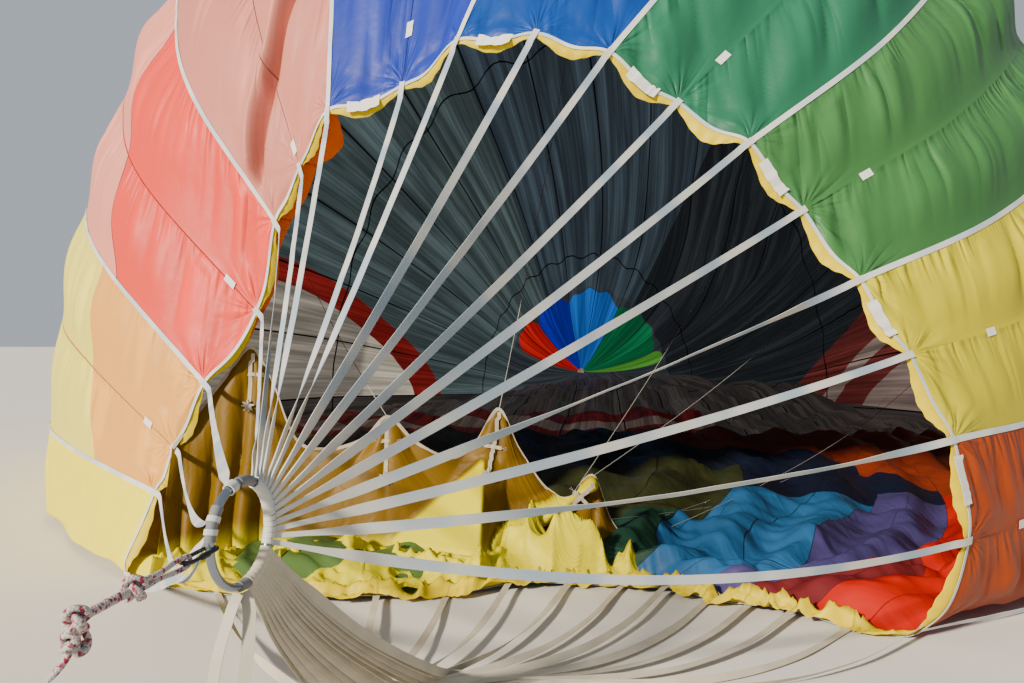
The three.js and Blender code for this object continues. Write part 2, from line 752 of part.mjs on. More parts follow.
function addCables() {
  for (const [name, sx, sz, gores] of CABLE_CORNERS) {
    const x = BASKET_X + sx * (FRAME_HALF_X - FRAME_BAR / 2);
    const z = BASKET_Z + sz * (FRAME_HALF_Z - FRAME_BAR / 2);
    const lugEnd = FRAME_PLANE - FRAME_BAR / 2 - LUG_LENGTH - GAP;
    const eye = V(x, lugEnd - SHACKLE_LENGTH / 2, z);
    const block = placed(box(SHACKLE_WIDTH, SHACKLE_LENGTH, 30), eye.x, eye.y, eye.z);
    const cables = gores.map((gore, i) => {
      const edge = hemEdge(gore, MOUTH, 1, CABLE_RADIUS);
      const start = eye.clone().add(V((i - 1.5) * CABLE_SPACING * sz, 0, 0));
      const [first, last] = stationsAlong([start, edge.point]);
      return sweep([first, flatOnHem(last, edge)], circle(CABLE_RADIUS, 6));
    });
    addPiece(`flying_cables_${name}`, joined([block, ...cables]), "#55585c", 0.4, 0.9);
  }
}

// Load frame, gimbal and double burner. The burner points at the mouth, towards -Y
const PIN = 12;
const PIN_SIDES = 24;
const BORE = (PIN + 0.5) / Math.cos(Math.PI / PIN_SIDES);
const GIMBAL_HALF_X = 370;
const GIMBAL_HALF_Z = 215;
const GIMBAL_BAR = 30;
const CAN_RADIUS = 140;
const CAN_LENGTH = 360;

function rectangularFrame(halfX, halfZ, bar, depth) {
  const outer = box(2 * halfX, depth, 2 * halfZ);
  return cutBy(outer, box(2 * (halfX - bar), depth * 2, 2 * (halfZ - bar)));
}

const crossBore = (length, radius = BORE) => drum(radius, length, PIN_SIDES).rotateZ(Math.PI / 2);
const uprightBore = (length, radius = BORE) => drum(radius, length, PIN_SIDES).rotateX(Math.PI / 2);

function addBurner() {
  const lugs = [-1, 1].flatMap((sx) =>
    [-1, 1].map((sz) =>
      placed(
        box(FRAME_BAR - 12, LUG_LENGTH + 4, FRAME_BAR - 12),
        sx * (FRAME_HALF_X - FRAME_BAR / 2),
        -FRAME_BAR / 2 - LUG_LENGTH / 2 + 2,
        sz * (FRAME_HALF_Z - FRAME_BAR / 2),
      ),
    ),
  );
  const ears = [-1, 1].map((sx) => placed(box(60, 60, 60), sx * (FRAME_HALF_X - FRAME_BAR), 0, 0));
  const frame = joined([rectangularFrame(FRAME_HALF_X, FRAME_HALF_Z, FRAME_BAR, FRAME_BAR), ...lugs, ...ears]);
  const bored = cutBy(frame, crossBore(4 * FRAME_HALF_X));
  addPiece("load_frame", placed(bored, BASKET_X, FRAME_PLANE, BASKET_Z), "#c9ccd0", 0.35, 0.9);

  const reach = FRAME_HALF_X + 4 - GIMBAL_HALF_X;
  const pins = [-1, 1].map((sx) =>
    placed(crossBore(reach + 10, PIN), sx * (GIMBAL_HALF_X - 5 + (reach + 10) / 2), 0, 0),
  );
  const gimbalRing = rectangularFrame(GIMBAL_HALF_X, GIMBAL_HALF_Z, GIMBAL_BAR, GIMBAL_BAR);
  const gimbal = cutBy(joined([gimbalRing, ...pins]), uprightBore(4 * GIMBAL_HALF_Z));
  addPiece("burner_gimbal", placed(gimbal, BASKET_X, FRAME_PLANE, BASKET_Z), "#b9bcc0", 0.35, 0.9);

  const base = joined([
    placed(box(430, 60, 150), 0, 30, 0),
    placed(box(180, 70, 110), 0, 90, 0),
    uprightBore(2 * GIMBAL_HALF_Z + 10, PIN),
    placed(box(18, 60, 2 * (GIMBAL_HALF_Z - GIMBAL_BAR) - 12), 0, 6, 0),
  ]);
  addPiece("burner_base", placed(base, BASKET_X, FRAME_PLANE, BASKET_Z), "#8f9499", 0.4, 0.9);

  const wall = 6;
  const front = -CAN_LENGTH;
  const profile = [
    [0, -GAP],
    [CAN_RADIUS - 30, -GAP],
    [CAN_RADIUS, -50],
    [CAN_RADIUS, front],
    [CAN_RADIUS - wall, front],
    [CAN_RADIUS - wall, -52],
    [CAN_RADIUS - 36, -30],
    [0, -30],
  ].map(([radius, along]) => new THREE.Vector2(radius, along));
  for (const [name, sx] of [["left", -1], ["right", 1]]) {
    const can = outwardFacing(toIndexed(new THREE.LatheGeometry(profile, 24)));
    const x = BASKET_X + sx * (CAN_RADIUS + 12);
    addPiece(`burner_can_${name}`, placed(can, x, FRAME_PLANE, BASKET_Z), "#d4d6d8", 0.3, 1);
  }
}

function toIndexed(geometry) {
  for (const name of ["normal", "uv"]) geometry.deleteAttribute(name);
  return withoutSlivers(mergeVertices(geometry, 1e-3));
}

// Rounded rectangle in X and Z, counter-clockwise, with the given number of steps in each corner
function roundedOutline(halfX, halfZ, radius, steps = 4) {
  const outline = [];
  const corners = [[1, 1, 0], [-1, 1, 90], [-1, -1, 180], [1, -1, 270]];
  for (const [sx, sz, turn] of corners) {
    for (let i = 0; i <= steps; i++) {
      const angle = (turn + (90 * i) / steps) * RADIANS;
      outline.push([
        sx * (halfX - radius) + radius * Math.cos(angle),
        sz * (halfZ - radius) + radius * Math.sin(angle),
      ]);
    }
  }
  return outline;
}

function prismAlongY(outline, fromY, toY) {
  const stations = [fromY, toY].map((y) => ({ point: V(0, y, 0), side: V(1, 0, 0), top: UP }));
  return sweep(stations, outline);
}

// Basket: woven walls, padded rim, floor on skids, four poles and four fuel cylinders
const WALL = 35;
const CORNER = 130;
const RIM_DEPTH = 60;
const RIM_HALF = 36;
const FLOOR_BOARD = 22;
const SKID = 55;
const CYLINDER_RADIUS = 150;
const CYLINDER_LENGTH = 760;

function addBasket() {
  const halfX = BASKET_WIDTH / 2;
  const halfZ = BASKET_DEPTH / 2;
  const bottom = BASKET_TOP + BASKET_HEIGHT;
  const wicker = cutBy(
    prismAlongY(roundedOutline(halfX, halfZ, CORNER), BASKET_TOP, bottom),
    prismAlongY(roundedOutline(halfX - WALL, halfZ - WALL, CORNER - WALL), BASKET_TOP - 10, bottom + 10),
  );
  addPiece("basket_wicker", placed(wicker, BASKET_X, 0, BASKET_Z), "#a9793f", 0.85);

  const rimMid = RIM_HALF - WALL / 2;
  const rimLayers = [
    [0, 14],
    [14, 0],
    [RIM_DEPTH - 14, 0],
    [RIM_DEPTH, 14],
  ];
  const ringOf = ([height, inset]) => ({
    y: BASKET_TOP - GAP - height,
    outer: roundedOutline(halfX + rimMid - inset, halfZ - 2 - inset, CORNER + rimMid - inset),
    inner: roundedOutline(halfX - WALL - rimMid + inset, halfZ - WALL - rimMid + inset, CORNER - WALL - rimMid + inset),
  });
  addPiece("basket_rim", placed(layeredRing(rimLayers.map(ringOf)), BASKET_X, 0, BASKET_Z), "#5a3a26", 0.7);

  const board = prismAlongY(roundedOutline(halfX, halfZ, CORNER), bottom + GAP, bottom + GAP + FLOOR_BOARD);
  const skids = [-1, 1].map((sx) =>
    placed(box(SKID, SKID + 4, BASKET_DEPTH - 260), sx * 480, bottom + FLOOR_BOARD + SKID / 2 - 2, 0),
  );
  addPiece("basket_floor", placed(joined([board, ...skids]), BASKET_X, 0, BASKET_Z), "#8a6238", 0.8);

  for (const [sideName, sx] of [["left", -1], ["right", 1]]) {
    for (const [levelName, sz] of [["top", 1], ["bottom", -1]]) {
      const foot = V(
        BASKET_X + sx * (halfX - WALL / 2 - 22),
        BASKET_TOP - GAP * 2 - RIM_DEPTH,
        BASKET_Z + sz * (halfZ - WALL / 2 - 22),
      );
      const head = V(
        BASKET_X + sx * (FRAME_HALF_X - FRAME_BAR / 2),
        FRAME_PLANE + FRAME_BAR / 2 + GAP,
        BASKET_Z + sz * (FRAME_HALF_Z - FRAME_BAR / 2),
      );
      const stations = [foot, head].map((point) => ({ point, side: V(1, 0, 0), top: UP }));
      addPiece(`upright_${levelName}_${sideName}`, sweep(stations, circle(24, 10)), "#3d2a20", 0.7);
      addPiece(
        `fuel_cylinder_${levelName}_${sideName}`,
        fuelCylinder(
          BASKET_X + sx * (halfX - WALL - GAP - CYLINDER_RADIUS),
          bottom,
          BASKET_Z + sz * (halfZ - WALL - GAP - CYLINDER_RADIUS),
        ),
        "#b8bcc0",
        0.35,
        0.9,
      );
    }
  }
}

// Ring between layers of an outer and an inner outline
function layeredRing(layers) {
  const count = layers[0].outer.length;
  const points = layers.flatMap(({ y, outer, inner }) => [
    ...outer.map(([x, z]) => V(x, y, z)),
    ...inner.map(([x, z]) => V(x, y, z)),
  ]);
  const at = (layer, side, i) => layer * 2 * count + side * count + (i % count);
  const faces = [];
  for (let i = 0; i < count; i++) {
    for (let layer = 0; layer < layers.length - 1; layer++) {
      faces.push([at(layer, 0, i), at(layer, 0, i + 1), at(layer + 1, 0, i + 1), at(layer + 1, 0, i)]);
      faces.push([at(layer, 1, i + 1), at(layer, 1, i), at(layer + 1, 1, i), at(layer + 1, 1, i + 1)]);
    }
    const top = layers.length - 1;
    faces.push([at(0, 0, i + 1), at(0, 0, i), at(0, 1, i), at(0, 1, i + 1)]);
    faces.push([at(top, 0, i), at(top, 0, i + 1), at(top, 1, i + 1), at(top, 1, i)]);
  }
  return outwardFacing(solidFrom(points, faces));
}

function fuelCylinder(x, bottom, z) {
  const top = -CYLINDER_LENGTH;
  const profile = [
    [0, -GAP],
    [CYLINDER_RADIUS - 25, -GAP],
    [CYLINDER_RADIUS, -60],
    [CYLINDER_RADIUS, top + 90],
    [CYLINDER_RADIUS - 60, top + 25],
    [40, top],
    [40, top - 70],
    [0, top - 70],
  ].map(([radius, along]) => new THREE.Vector2(radius, along));
  const shape = outwardFacing(toIndexed(new THREE.LatheGeometry(profile, 20)));
  return placed(shape, x, bottom, z);
}

addEnvelope();
addCrown();
addCrownLine();
addParachute();
addCables();
addBurner();
addBasket();

export default balloon;
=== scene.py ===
# %% [markdown]
# # A hot air balloon on its side
# The part's solids come first, as a fixed frame. Every piece below is laid on them, in metres, in the same axes:
# Z is up, Y runs from the crown to the basket, and the origin is the centre of the crown ring.

# %% Load the frame
import json
import math

import bpy
import numpy as np
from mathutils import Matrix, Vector

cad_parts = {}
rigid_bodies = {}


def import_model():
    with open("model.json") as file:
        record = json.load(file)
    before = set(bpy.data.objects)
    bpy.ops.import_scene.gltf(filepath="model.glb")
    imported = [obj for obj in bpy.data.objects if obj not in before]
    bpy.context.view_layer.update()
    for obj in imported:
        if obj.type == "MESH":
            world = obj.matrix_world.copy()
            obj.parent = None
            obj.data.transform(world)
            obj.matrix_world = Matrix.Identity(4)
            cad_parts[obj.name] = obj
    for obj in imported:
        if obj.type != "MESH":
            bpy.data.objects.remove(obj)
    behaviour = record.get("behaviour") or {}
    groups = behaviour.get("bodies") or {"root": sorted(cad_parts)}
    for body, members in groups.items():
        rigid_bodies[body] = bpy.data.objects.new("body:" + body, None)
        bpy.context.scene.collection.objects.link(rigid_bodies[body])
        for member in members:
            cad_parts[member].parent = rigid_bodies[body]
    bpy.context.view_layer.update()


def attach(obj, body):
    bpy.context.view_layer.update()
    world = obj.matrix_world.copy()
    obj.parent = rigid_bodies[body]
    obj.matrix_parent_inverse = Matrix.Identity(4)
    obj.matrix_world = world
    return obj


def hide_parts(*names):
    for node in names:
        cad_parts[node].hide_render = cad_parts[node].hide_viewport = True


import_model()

cad_names = {o.name for o in bpy.data.objects}

# %% [markdown]
# ## The viewpoint
# A person of ordinary height stands two and a half metres in front of the crown ring and looks straight into the
# envelope. A lens of 28 mm on a full-size sensor gives the same wide view. The horizon lies a little below the
# middle of the picture, so the sensor is shifted by a pixel and a half and the camera stays level.

# %% Camera
EYE = (0.811, -2.40, 0.571)
LENS = 28.125
SENSOR = 36.0
PICTURE_WIDTH = 1024
HORIZON_DROP = 1.5  # pixels


def put(name, data):
    """Links a new object with this mesh, lamp or camera to the scene."""
    made = bpy.data.objects.new(name, data)
    bpy.context.scene.collection.objects.link(made)
    return made


lens = bpy.data.cameras.new("camera")
lens.lens = LENS
lens.sensor_width = SENSOR
lens.shift_y = HORIZON_DROP / PICTURE_WIDTH
lens.clip_end = 300
camera = put("camera", lens)
camera.location = EYE
camera.rotation_euler = (math.radians(90), 0, 0)
bpy.context.scene.camera = camera
print("camera at", EYE)

# %% [markdown]
# ## Light and floor
# Low morning light comes from the left and a little behind the viewer. A wide sun lamp gives it soft edges, as a
# large studio lamp would, and a pale surround fills the shadows. The cloth is thin and bright, so the floor is kept
# pale but not white, or it would throw too much light up into the envelope.

# %% Studio
GROUND = -0.930  # height of the floor, below the centre of the crown ring
SUN_FROM = Vector((-0.62, -0.66, 0.43))  # direction from the balloon to the light
SUN_SPREAD = 5.0  # degrees
SUN_STRENGTH = 8.8
SKY_STRENGTH = 0.6
FLOOR_HALF = 400.0


def linear(colour):
    """Linear red, green, blue and alpha of an sRGB hex colour."""
    parts = [int(colour[i : i + 2], 16) / 255 for i in (1, 3, 5)]
    return [p / 12.92 if p <= 0.04045 else ((p + 0.055) / 1.055) ** 2.4 for p in parts] + [1.0]


class Signal:
    """A node's output. Plain maths on signals adds Math nodes."""

    def __init__(self, socket):
        self.socket, self.tree = socket, socket.id_data

    def math(self, operation, *others):
        return node(self.tree, "Math", dict(enumerate((self, *others))), operation=operation)

    def __add__(self, other):
        return self.math("ADD", other)

    def __sub__(self, other):
        return self.math("SUBTRACT", other)

    def __mul__(self, other):
        return self.math("MULTIPLY", other)

    def __lt__(self, other):
        return self.math("LESS_THAN", other)

    def __gt__(self, other):
        return self.math("GREATER_THAN", other)


def feed(made, inputs):
    """Sets a node's inputs, by name or number, to values or signals."""
    for name, value in dict(inputs).items():
        if isinstance(value, Signal):
            made.id_data.links.new(value.socket, made.inputs[name])
        else:
            made.inputs[name].default_value = value


def node(tree, kind, inputs=(), output=0, **settings):
    """Adds a shader node, and returns one of its outputs as a signal."""
    made = tree.nodes.new("ShaderNode" + kind)
    for name, value in settings.items():
        setattr(made, name, value)
    feed(made, inputs)
    return Signal(made.outputs[output])


def new_material(name, **constants):
    """An empty material with a Principled shader, whose constant values are set by socket name."""
    material = bpy.data.materials.new(name)
    material.use_nodes = True
    shader = material.node_tree.nodes["Principled BSDF"]
    feed(shader, {socket.replace("_", " "): value for socket, value in constants.items()})
    return material, material.node_tree, shader


def object_place(tree):
    return node(tree, "TexCoord", output="Object")


def clouds(place, scale, detail=2.0, roughness=0.5, distortion=0.0):
    """Noise from 0 to 1 over a place."""
    sizes = {"Vector": place, "Scale": scale, "Detail": detail, "Roughness": roughness, "Distortion": distortion}
    return node(place.tree, "TexNoise", sizes)


def mixed(factor, one, other, blend_type="MIX"):
    tree = next(v for v in (factor, one, other) if isinstance(v, Signal)).tree
    return node(tree, "MixRGB", {"Fac": factor, "Color1": one, "Color2": other}, blend_type=blend_type)


sun = bpy.data.lights.new("sun", "SUN")
sun.energy = SUN_STRENGTH
sun.angle = math.radians(SUN_SPREAD)
sun.color = linear("#fff3e2")[:3]
put("sun", sun).rotation_euler = SUN_FROM.to_track_quat("Z", "Y").to_euler()

world = bpy.data.worlds.new("studio")
world.use_nodes = True
feed(world.node_tree.nodes["Background"], {"Color": linear("#dfe8f2"), "Strength": SKY_STRENGTH})
bpy.context.scene.world = world

paint, tree, shader = new_material("matt studio floor paint", Roughness=0.9)
blotches = clouds(object_place(tree), 0.6, 4.0)
feed(shader, {"Base Color": mixed(blotches, linear("#cfcac0"), linear("#d6d2c9"))})
floor_mesh = bpy.data.meshes.new("studio_floor")
corners = [(-1, -1), (1, -1), (1, 1), (-1, 1)]
floor_mesh.from_pydata([(x * FLOOR_HALF, y * FLOOR_HALF, GROUND) for x, y in corners], [], [(0, 1, 2, 3)])
floor_mesh.materials.append(paint)
put("studio_floor", floor_mesh)
print("sun from", [round(v, 2) for v in SUN_FROM])

# %% [markdown]
# ## The shape of the envelope
# The envelope is a bag of 32 gores. A gore is a long strip of thin nylon, sewn to its neighbours from the vent at the
# crown to the mouth at the basket. On its side and half full, the bag is a row of cross-sections: an arch of 19 gores,
# held up by air, closed by 13 gores that lie on the ground. The same tables made the solids, so the cloth lands on
# them. A place on the envelope is a gore number (0 is the seam to the left of the top) and a row (0 is the vent's rim
# and 10 the mouth).

# %% Rim, sections and skin
GORES = 32
FIRST_RIM_GORE = -7
LAST_RIM_GORE = 12
MOUTH = 10
CLEARANCE = 0.015
UP = np.array([0.0, 0.0, 1.0])
# Rim at each seam in millimetres: x, y and height above the floor, from the left foot over the top to the right foot
RIM = [
    (-1630, 2670, 50), (-1510, 2800, 530), (-1420, 2880, 814), (-1230, 2900, 1240), (-900, 2960, 1720),
    (-776, 2960, 2317), (-570, 2820, 2660), (-350, 2660, 2974), (133, 2580, 3106), (490, 2364, 3306),
    (951, 2240, 3298), (1371, 2170, 3163), (1761, 2175, 2877), (2138, 2060, 2619), (2422, 2030, 2236),
    (2689, 1917, 1840), (2888, 1776, 1437), (3025, 1617, 1013), (3047, 1525, 534), (2886, 1640, 60),
]  # fmt: skip
# The rest of the rim lies on the ground: x and y
GROUND_RIM = [
    (2620, 1790), (2390, 1950), (2210, 2110), (2010, 2230), (1780, 2350), (1540, 2470),
    (1220, 2520), (840, 2470), (440, 2360), (20, 2270), (-430, 2250), (-960, 2380),
]  # fmt: skip
# Sections: centre x and y, half width, yaw in degrees, height, first and last gore off the ground, twist in gores
SECTIONS = [
    (630, 2155, 2320, -12.8, 3300, -7, 12, 0),
    (800, 2950, 3350, -11, 4700, -7, 12, 0.9),
    (1000, 4000, 4350, -9, 6200, -6.8, 11.8, 1),
    (1200, 5600, 5200, -6, 7700, -6.6, 11.6, 1),
    (1500, 8100, 5900, -3, 8800, -6.4, 11.4, 0.9),
    (1800, 11100, 6000, 0, 8800, -6.3, 11.3, 0.8),
    (2200, 14100, 5200, 0, 7600, -6.3, 11.3, 0.6),
    (2600, 16600, 3700, 0, 5300, -6.3, 11.3, 0.4),
    (2800, 18800, 2200, 0, 2900, -6.3, 11.3, 0.2),
    (2850, 20800, 1250, 0, 1600, -6.3, 11.3, 0),
    (2850, 22600, 800, 0, 1150, -6.3, 11.3, 0),
]

rim_knots = [(x, y, height + GROUND * 1000) for x, y, height in RIM]
for i, (x, y) in enumerate(GROUND_RIM):
    rim_knots.append((x, y, GROUND * 1000 + 35 + 20 * math.sin(2.3 * (LAST_RIM_GORE + 1 + i))))
RIM_KNOTS = np.array(rim_knots) / 1000


def spline(a, b, c, d, s):
    """Uniform Catmull-Rom value between b and c."""
    return b + 0.5 * s * (c - a + s * (2 * a - 5 * b + 4 * c - d + s * (3 * (b - c) + d - a)))


def smoothstep(low, high, value):
    t = np.clip((value - low) / (high - low), 0, 1)
    return t * t * (3 - 2 * t)


def rim_points(gore):
    g = FIRST_RIM_GORE + np.mod(gore - FIRST_RIM_GORE, GORES)
    k = np.floor(g).astype(int)
    s = g - k
    knots = [RIM_KNOTS[(k + i - FIRST_RIM_GORE) % GORES] for i in (-1, 0, 1, 2)]
    points = spline(*knots, s[..., None])
    points[..., 2] -= np.where(g < LAST_RIM_GORE, 0.045 * np.sin(np.pi * s) ** 2, 0)
    points[..., 2] = np.maximum(points[..., 2], GROUND + CLEARANCE)
    return points


def section_points(index, gore):
    if index == 0:
        return rim_points(gore)
    cx, cy, half, yaw, height, first, last, twist = SECTIONS[index]
    cx, cy, half, height = cx / 1000, cy / 1000, half / 1000, height / 1000
    g = FIRST_RIM_GORE + np.mod(gore - FIRST_RIM_GORE, GORES)
    g = np.where(g < first, g + GORES, g)
    # the arch
    s = np.clip((g - first) / (last - first), 0, 1)
    turned = twist * np.sin(np.pi * s) ** 4 / (last - first)
    angle = np.pi * (s + turned + (-0.1 - 0.25 * s) * np.sin(2 * np.pi * s) / (2 * np.pi))
    bulge = 1 + 0.035 * np.sin(np.pi * g) ** 2 * np.sin(angle)
    arch_across = -np.cos(angle) * half * bulge
    arch_rise = np.sin(angle) * (height - CLEARANCE) * bulge
    # the cloth on the ground
    f = np.clip((g - last) / (GORES - (last - first)), 0, 1)
    gathered = 0.75 * min(1, half / 3)
    across = half * (1 - 2 * f * (1 - gathered * (1 - f)))
    ends = np.minimum(1, np.minimum(6 * f, 6 * (1 - f)))
    rise = np.minimum(0.09, half / 20 * (1 - gathered * (1 - 2 * f))) * ends * np.sin(np.pi * g) ** 2
    off = g <= last
    across = np.where(off, arch_across, across)
    rise = np.where(off, arch_rise, rise)
    turn = math.radians(yaw)
    x = cx + across * math.cos(turn)
    y = cy + across * math.sin(turn)
    return np.stack([x, y, GROUND + CLEARANCE + rise], axis=-1)


def skin(gore, row):
    """Points of the envelope, for arrays of gores and rows of one shape."""
    gore, row = np.broadcast_arrays(np.asarray(gore, float), np.asarray(row, float))
    k = np.clip(np.floor(row).astype(int), 0, MOUTH - 1)
    sections = np.stack([section_points(i, gore) for i in range(MOUTH + 1)])

    def at(index):
        chosen = np.clip(index, 0, MOUTH)[None, ..., None]
        return np.take_along_axis(sections, np.broadcast_to(chosen, (1, *gore.shape, 3)), axis=0)[0]

    here, following = at(k), at(k + 1)
    before = np.where((k > 0)[..., None], at(k - 1), 2 * here - following)
    after = np.where((k + 2 <= MOUTH)[..., None], at(k + 2), 2 * following - here)
    return spline(before, here, following, after, (row - k)[..., None])


def unit(vectors):
    return vectors / np.maximum(np.linalg.norm(vectors, axis=-1, keepdims=True), 1e-9)


def skin_frame(gore, row):
    """Directions along the seams, round the envelope and outwards."""
    row = np.asarray(row, float)
    along = unit(skin(gore, np.minimum(row + 0.05, MOUTH)) - skin(gore, np.maximum(row - 0.05, 0)))
    around = unit(skin(np.asarray(gore) + 0.5, row) - skin(np.asarray(gore) - 0.5, row))
    return along, around, unit(np.cross(around, along))


print("top of the rim", skin(np.array([2.0]), np.array([0.0]))[0].round(3))

# %% [markdown]
# ## Folds
# The bag isn't tight, so its cloth hangs from the tapes that run along the seams. Just under a tape it is gathered in
# short pleats. These join into long folds that follow gravity down to the next seam, and near the rim they turn
# towards the points where the load tapes pull. Each gore gets its own level coordinate, h, that stays the same along a
# vertical line on the cloth, so one profile over h gives folds that all hang straight. The noise comes from tables
# with a fixed seed, so each run gives the same cloth.

# %% Noise and folds
def noise_cell(x, y, seed):
    """Random values from -1 to 1 at the four corners of the unit square round each place, and the place in it."""
    table = np.random.RandomState(seed).uniform(-1, 1, (64, 64))
    i, j = np.floor(x).astype(int), np.floor(y).astype(int)
    corners = (table[(i + a) % 64, (j + b) % 64] for a, b in ((0, 0), (1, 0), (0, 1), (1, 1)))
    return *corners, x - i, y - j


def noise(x, y, seed):
    """Smooth noise from -1 to 1 with one bump a unit."""
    a, b, c, d, u, v = noise_cell(*np.broadcast_arrays(x, y), seed)
    u, v = u * u * (3 - 2 * u), v * v * (3 - 2 * v)
    return (a * (1 - u) + b * u) * (1 - v) + (c * (1 - u) + d * u) * v


def pleats(phase):
    """Rounded ridges with sharp valleys between them, from -1 to 1."""
    return 2 * np.abs(np.sin(phase / 2)) ** 0.8 - 1


def slid(gore, row):
    """Where cloth lies, in gores: on the ground it has slid to the right, most of all at the rim and far from it."""
    amount = 1.6 - 0.9 * smoothstep(0.2, 1.5, row) + 0.7 * smoothstep(1.7, 2.8, row)
    amount = amount * (1 - smoothstep(3.4, 4.5, row))
    return gore - amount * smoothstep(15.4, 19, gore) * (1 - smoothstep(20.5, 25, gore))


def cloth_places(gores, rows):
    """Points and directions of a grid of cloth, and its coordinates in metres: h level, v up the cloth, the distance
    to the nearest seam, the distance from the rim, and the width of the gore there."""
    gore, row = np.meshgrid(gores, rows)
    lies_at = slid(gore, row)
    points = skin(lies_at, row)
    along, around, outwards = skin_frame(lies_at, row)
    level, upward = np.zeros_like(gore), np.zeros_like(gore)
    width = np.zeros_like(gore)
    down_rows = np.asarray(rows, float)
    number = np.minimum(np.floor(gores + 1e-6), math.ceil(gores[-1] - 1e-6) - 1)
    for j in np.unique(number):
        middle = skin(np.full_like(down_rows, j + 0.5), down_rows)
        normal = skin_frame(np.full_like(down_rows, j + 0.5), down_rows)[2]
        hang = np.array([0, -0.15, 1.0])
        upwards = unit(hang - (normal @ hang)[:, None] * normal)
        sideways = np.cross(upwards, normal)
        step = np.diff(middle, axis=0, prepend=middle[:1])
        chosen = number == j
        away = points[:, chosen] - middle[:, None]
        level[:, chosen] = np.cumsum((step * sideways).sum(1))[:, None] + (away * sideways[:, None]).sum(2)
        upward[:, chosen] = np.cumsum((step * upwards).sum(1))[:, None] + (away * upwards[:, None]).sum(2)
        level[:, chosen] += 7.3 * j
        across = skin(np.full_like(down_rows, j + 1.0), down_rows) - skin(np.full_like(down_rows, j), down_rows)
        width[:, chosen] = np.linalg.norm(across, axis=1)[:, None]
    share = gore - number[None]
    seam = np.minimum(share, 1 - share) * width
    length = np.linalg.norm(np.diff(points, axis=0, prepend=points[:1]), axis=2)
    return {
        "gore": gore, "row": row, "points": points, "outwards": outwards, "along": along, "around": around,
        "h": level, "v": upward, "share": share, "seam": seam, "width": width,
        "rim": np.cumsum(length, axis=0), "number": np.broadcast_to(number[None], gore.shape),
    }  # fmt: skip


def hanging_folds(at):
    """How far the cloth of the arch stands out, in metres."""
    h, v, share, width, rim = at["h"], at["v"], at["share"], at["width"], at["rim"]
    # distance below the seam that the cloth hangs from: the upper one of its two
    number = np.mod(at["number"] + 8, GORES) - 8
    from_upper = np.where(number >= 2, share, 1 - share)
    below = from_upper * width
    clear = smoothstep(0, 0.03, at["seam"]) * smoothstep(0, 0.05, rim)
    slant = h + 0.05 * noise(v * 1.3, h * 0.8, 11)
    turn = slant * 2 * np.pi
    small = 0.009 * pleats(turn / 0.18 + 2.0 * noise(h * 2.4, v * 0.9, 14)) * smoothstep(0, 0.1, below)
    small *= (1 - smoothstep(0.3, 1.0, from_upper)) * (0.5 + 0.6 * noise(h * 1.3, v * 0.5, 15))
    large = np.where(number < 0, 0.020, 0.032) * np.where(number < -4, 0.4, 1)
    large = large * pleats(turn / 0.38 + 2.4 * noise(h * 1.1, v * 0.5, 16)) * smoothstep(0, 0.25, below)
    large *= (1 - smoothstep(0.55, 1.0, from_upper)) * (0.5 + 0.8 * noise(h * 0.8, v * 0.25, 17))
    # near the rim the folds fan out from the two points where the load tapes pull
    fan = np.zeros_like(h)
    for side in (0, 1):
        reach = np.hypot((share - side) * width, rim) + 1e-6
        angle = np.arctan2(rim, np.abs(share - side) * width + 1e-6)
        count = 9 + 2 * noise(at["number"] * 1.7, side + 0.5, 18)
        ridges = pleats(angle * count + 2 * noise(reach * 3, angle * 2, 19))
        fan += 0.008 * ridges * np.exp(-((reach / 0.42) ** 2)) * smoothstep(0, 0.1, reach)
    slack = 0.018 * noise(h * 1.1, v * 1.1, 20) + 0.008 * noise(h * 2.7, v * 2.2, 21)
    # one deep fold runs down the rose panel to the rim
    gore = np.mod(at["gore"] + 8, GORES) - 8
    off = (gore + 1.85 - 2.6 * (at["row"] - 0.18)) * 0.5
    deep = 0.08 * np.exp(-(((off + 0.13) / 0.09) ** 2)) - 0.09 * np.exp(-((off / 0.05) ** 2))
    deep *= smoothstep(0.12, 0.3, at["row"]) * (1 - smoothstep(0.9, 1.7, at["row"])) * (gore > -2) * (gore < 0)
    deep *= smoothstep(0, 0.1, np.minimum(-gore, gore + 2) * width)
    return clear * (small + large + fan + slack * smoothstep(0, 0.3, at["seam"])) + deep


JOINTS = (4.5, 6.1, 8.0)  # rows where two pieces meet


def fade_at_joints(row):
    return np.prod([smoothstep(0, 0.12, np.abs(row - joint)) for joint in JOINTS], axis=0)


def facets(x, y, seed):
    """Flat patches that meet in sharp creases, from -1 to 1."""
    a, b, c, d, u, v = noise_cell(x, y, seed)
    return np.where(u + v < 1, a + (b - a) * u + (c - a) * v, d + (c - d) * (1 - u) + (b - d) * (1 - v))


def crumpled(at):
    """Height of the folds of the cloth that lies on the ground."""
    x, y = at["points"][..., 0], at["points"][..., 1]
    x = x + 0.15 * noise(x * 1.2, y * 1.2, 31)
    ridge = (1 - np.abs(noise(x * 1.5 + y * 0.5, y * 0.75, 32))) ** 3
    flat = 0.055 * facets(x * 2.6 + y * 1.1, y * 1.7 - x * 0.9, 33)
    flat = flat + 0.030 * facets(x * 4.9 - y * 1.6, y * 3.1 + x * 1.9, 34)
    return 0.06 * ridge + 0.1 + flat + 0.012 * facets(x * 9.3 + y * 4, y * 7.1 - x * 3, 35)


sample = hanging_folds(cloth_places(np.linspace(6, 8, 9), np.linspace(0, 2, 9))) * 1000
print("folds of one panel in mm", sample.min().round(0), sample.max().round(0))

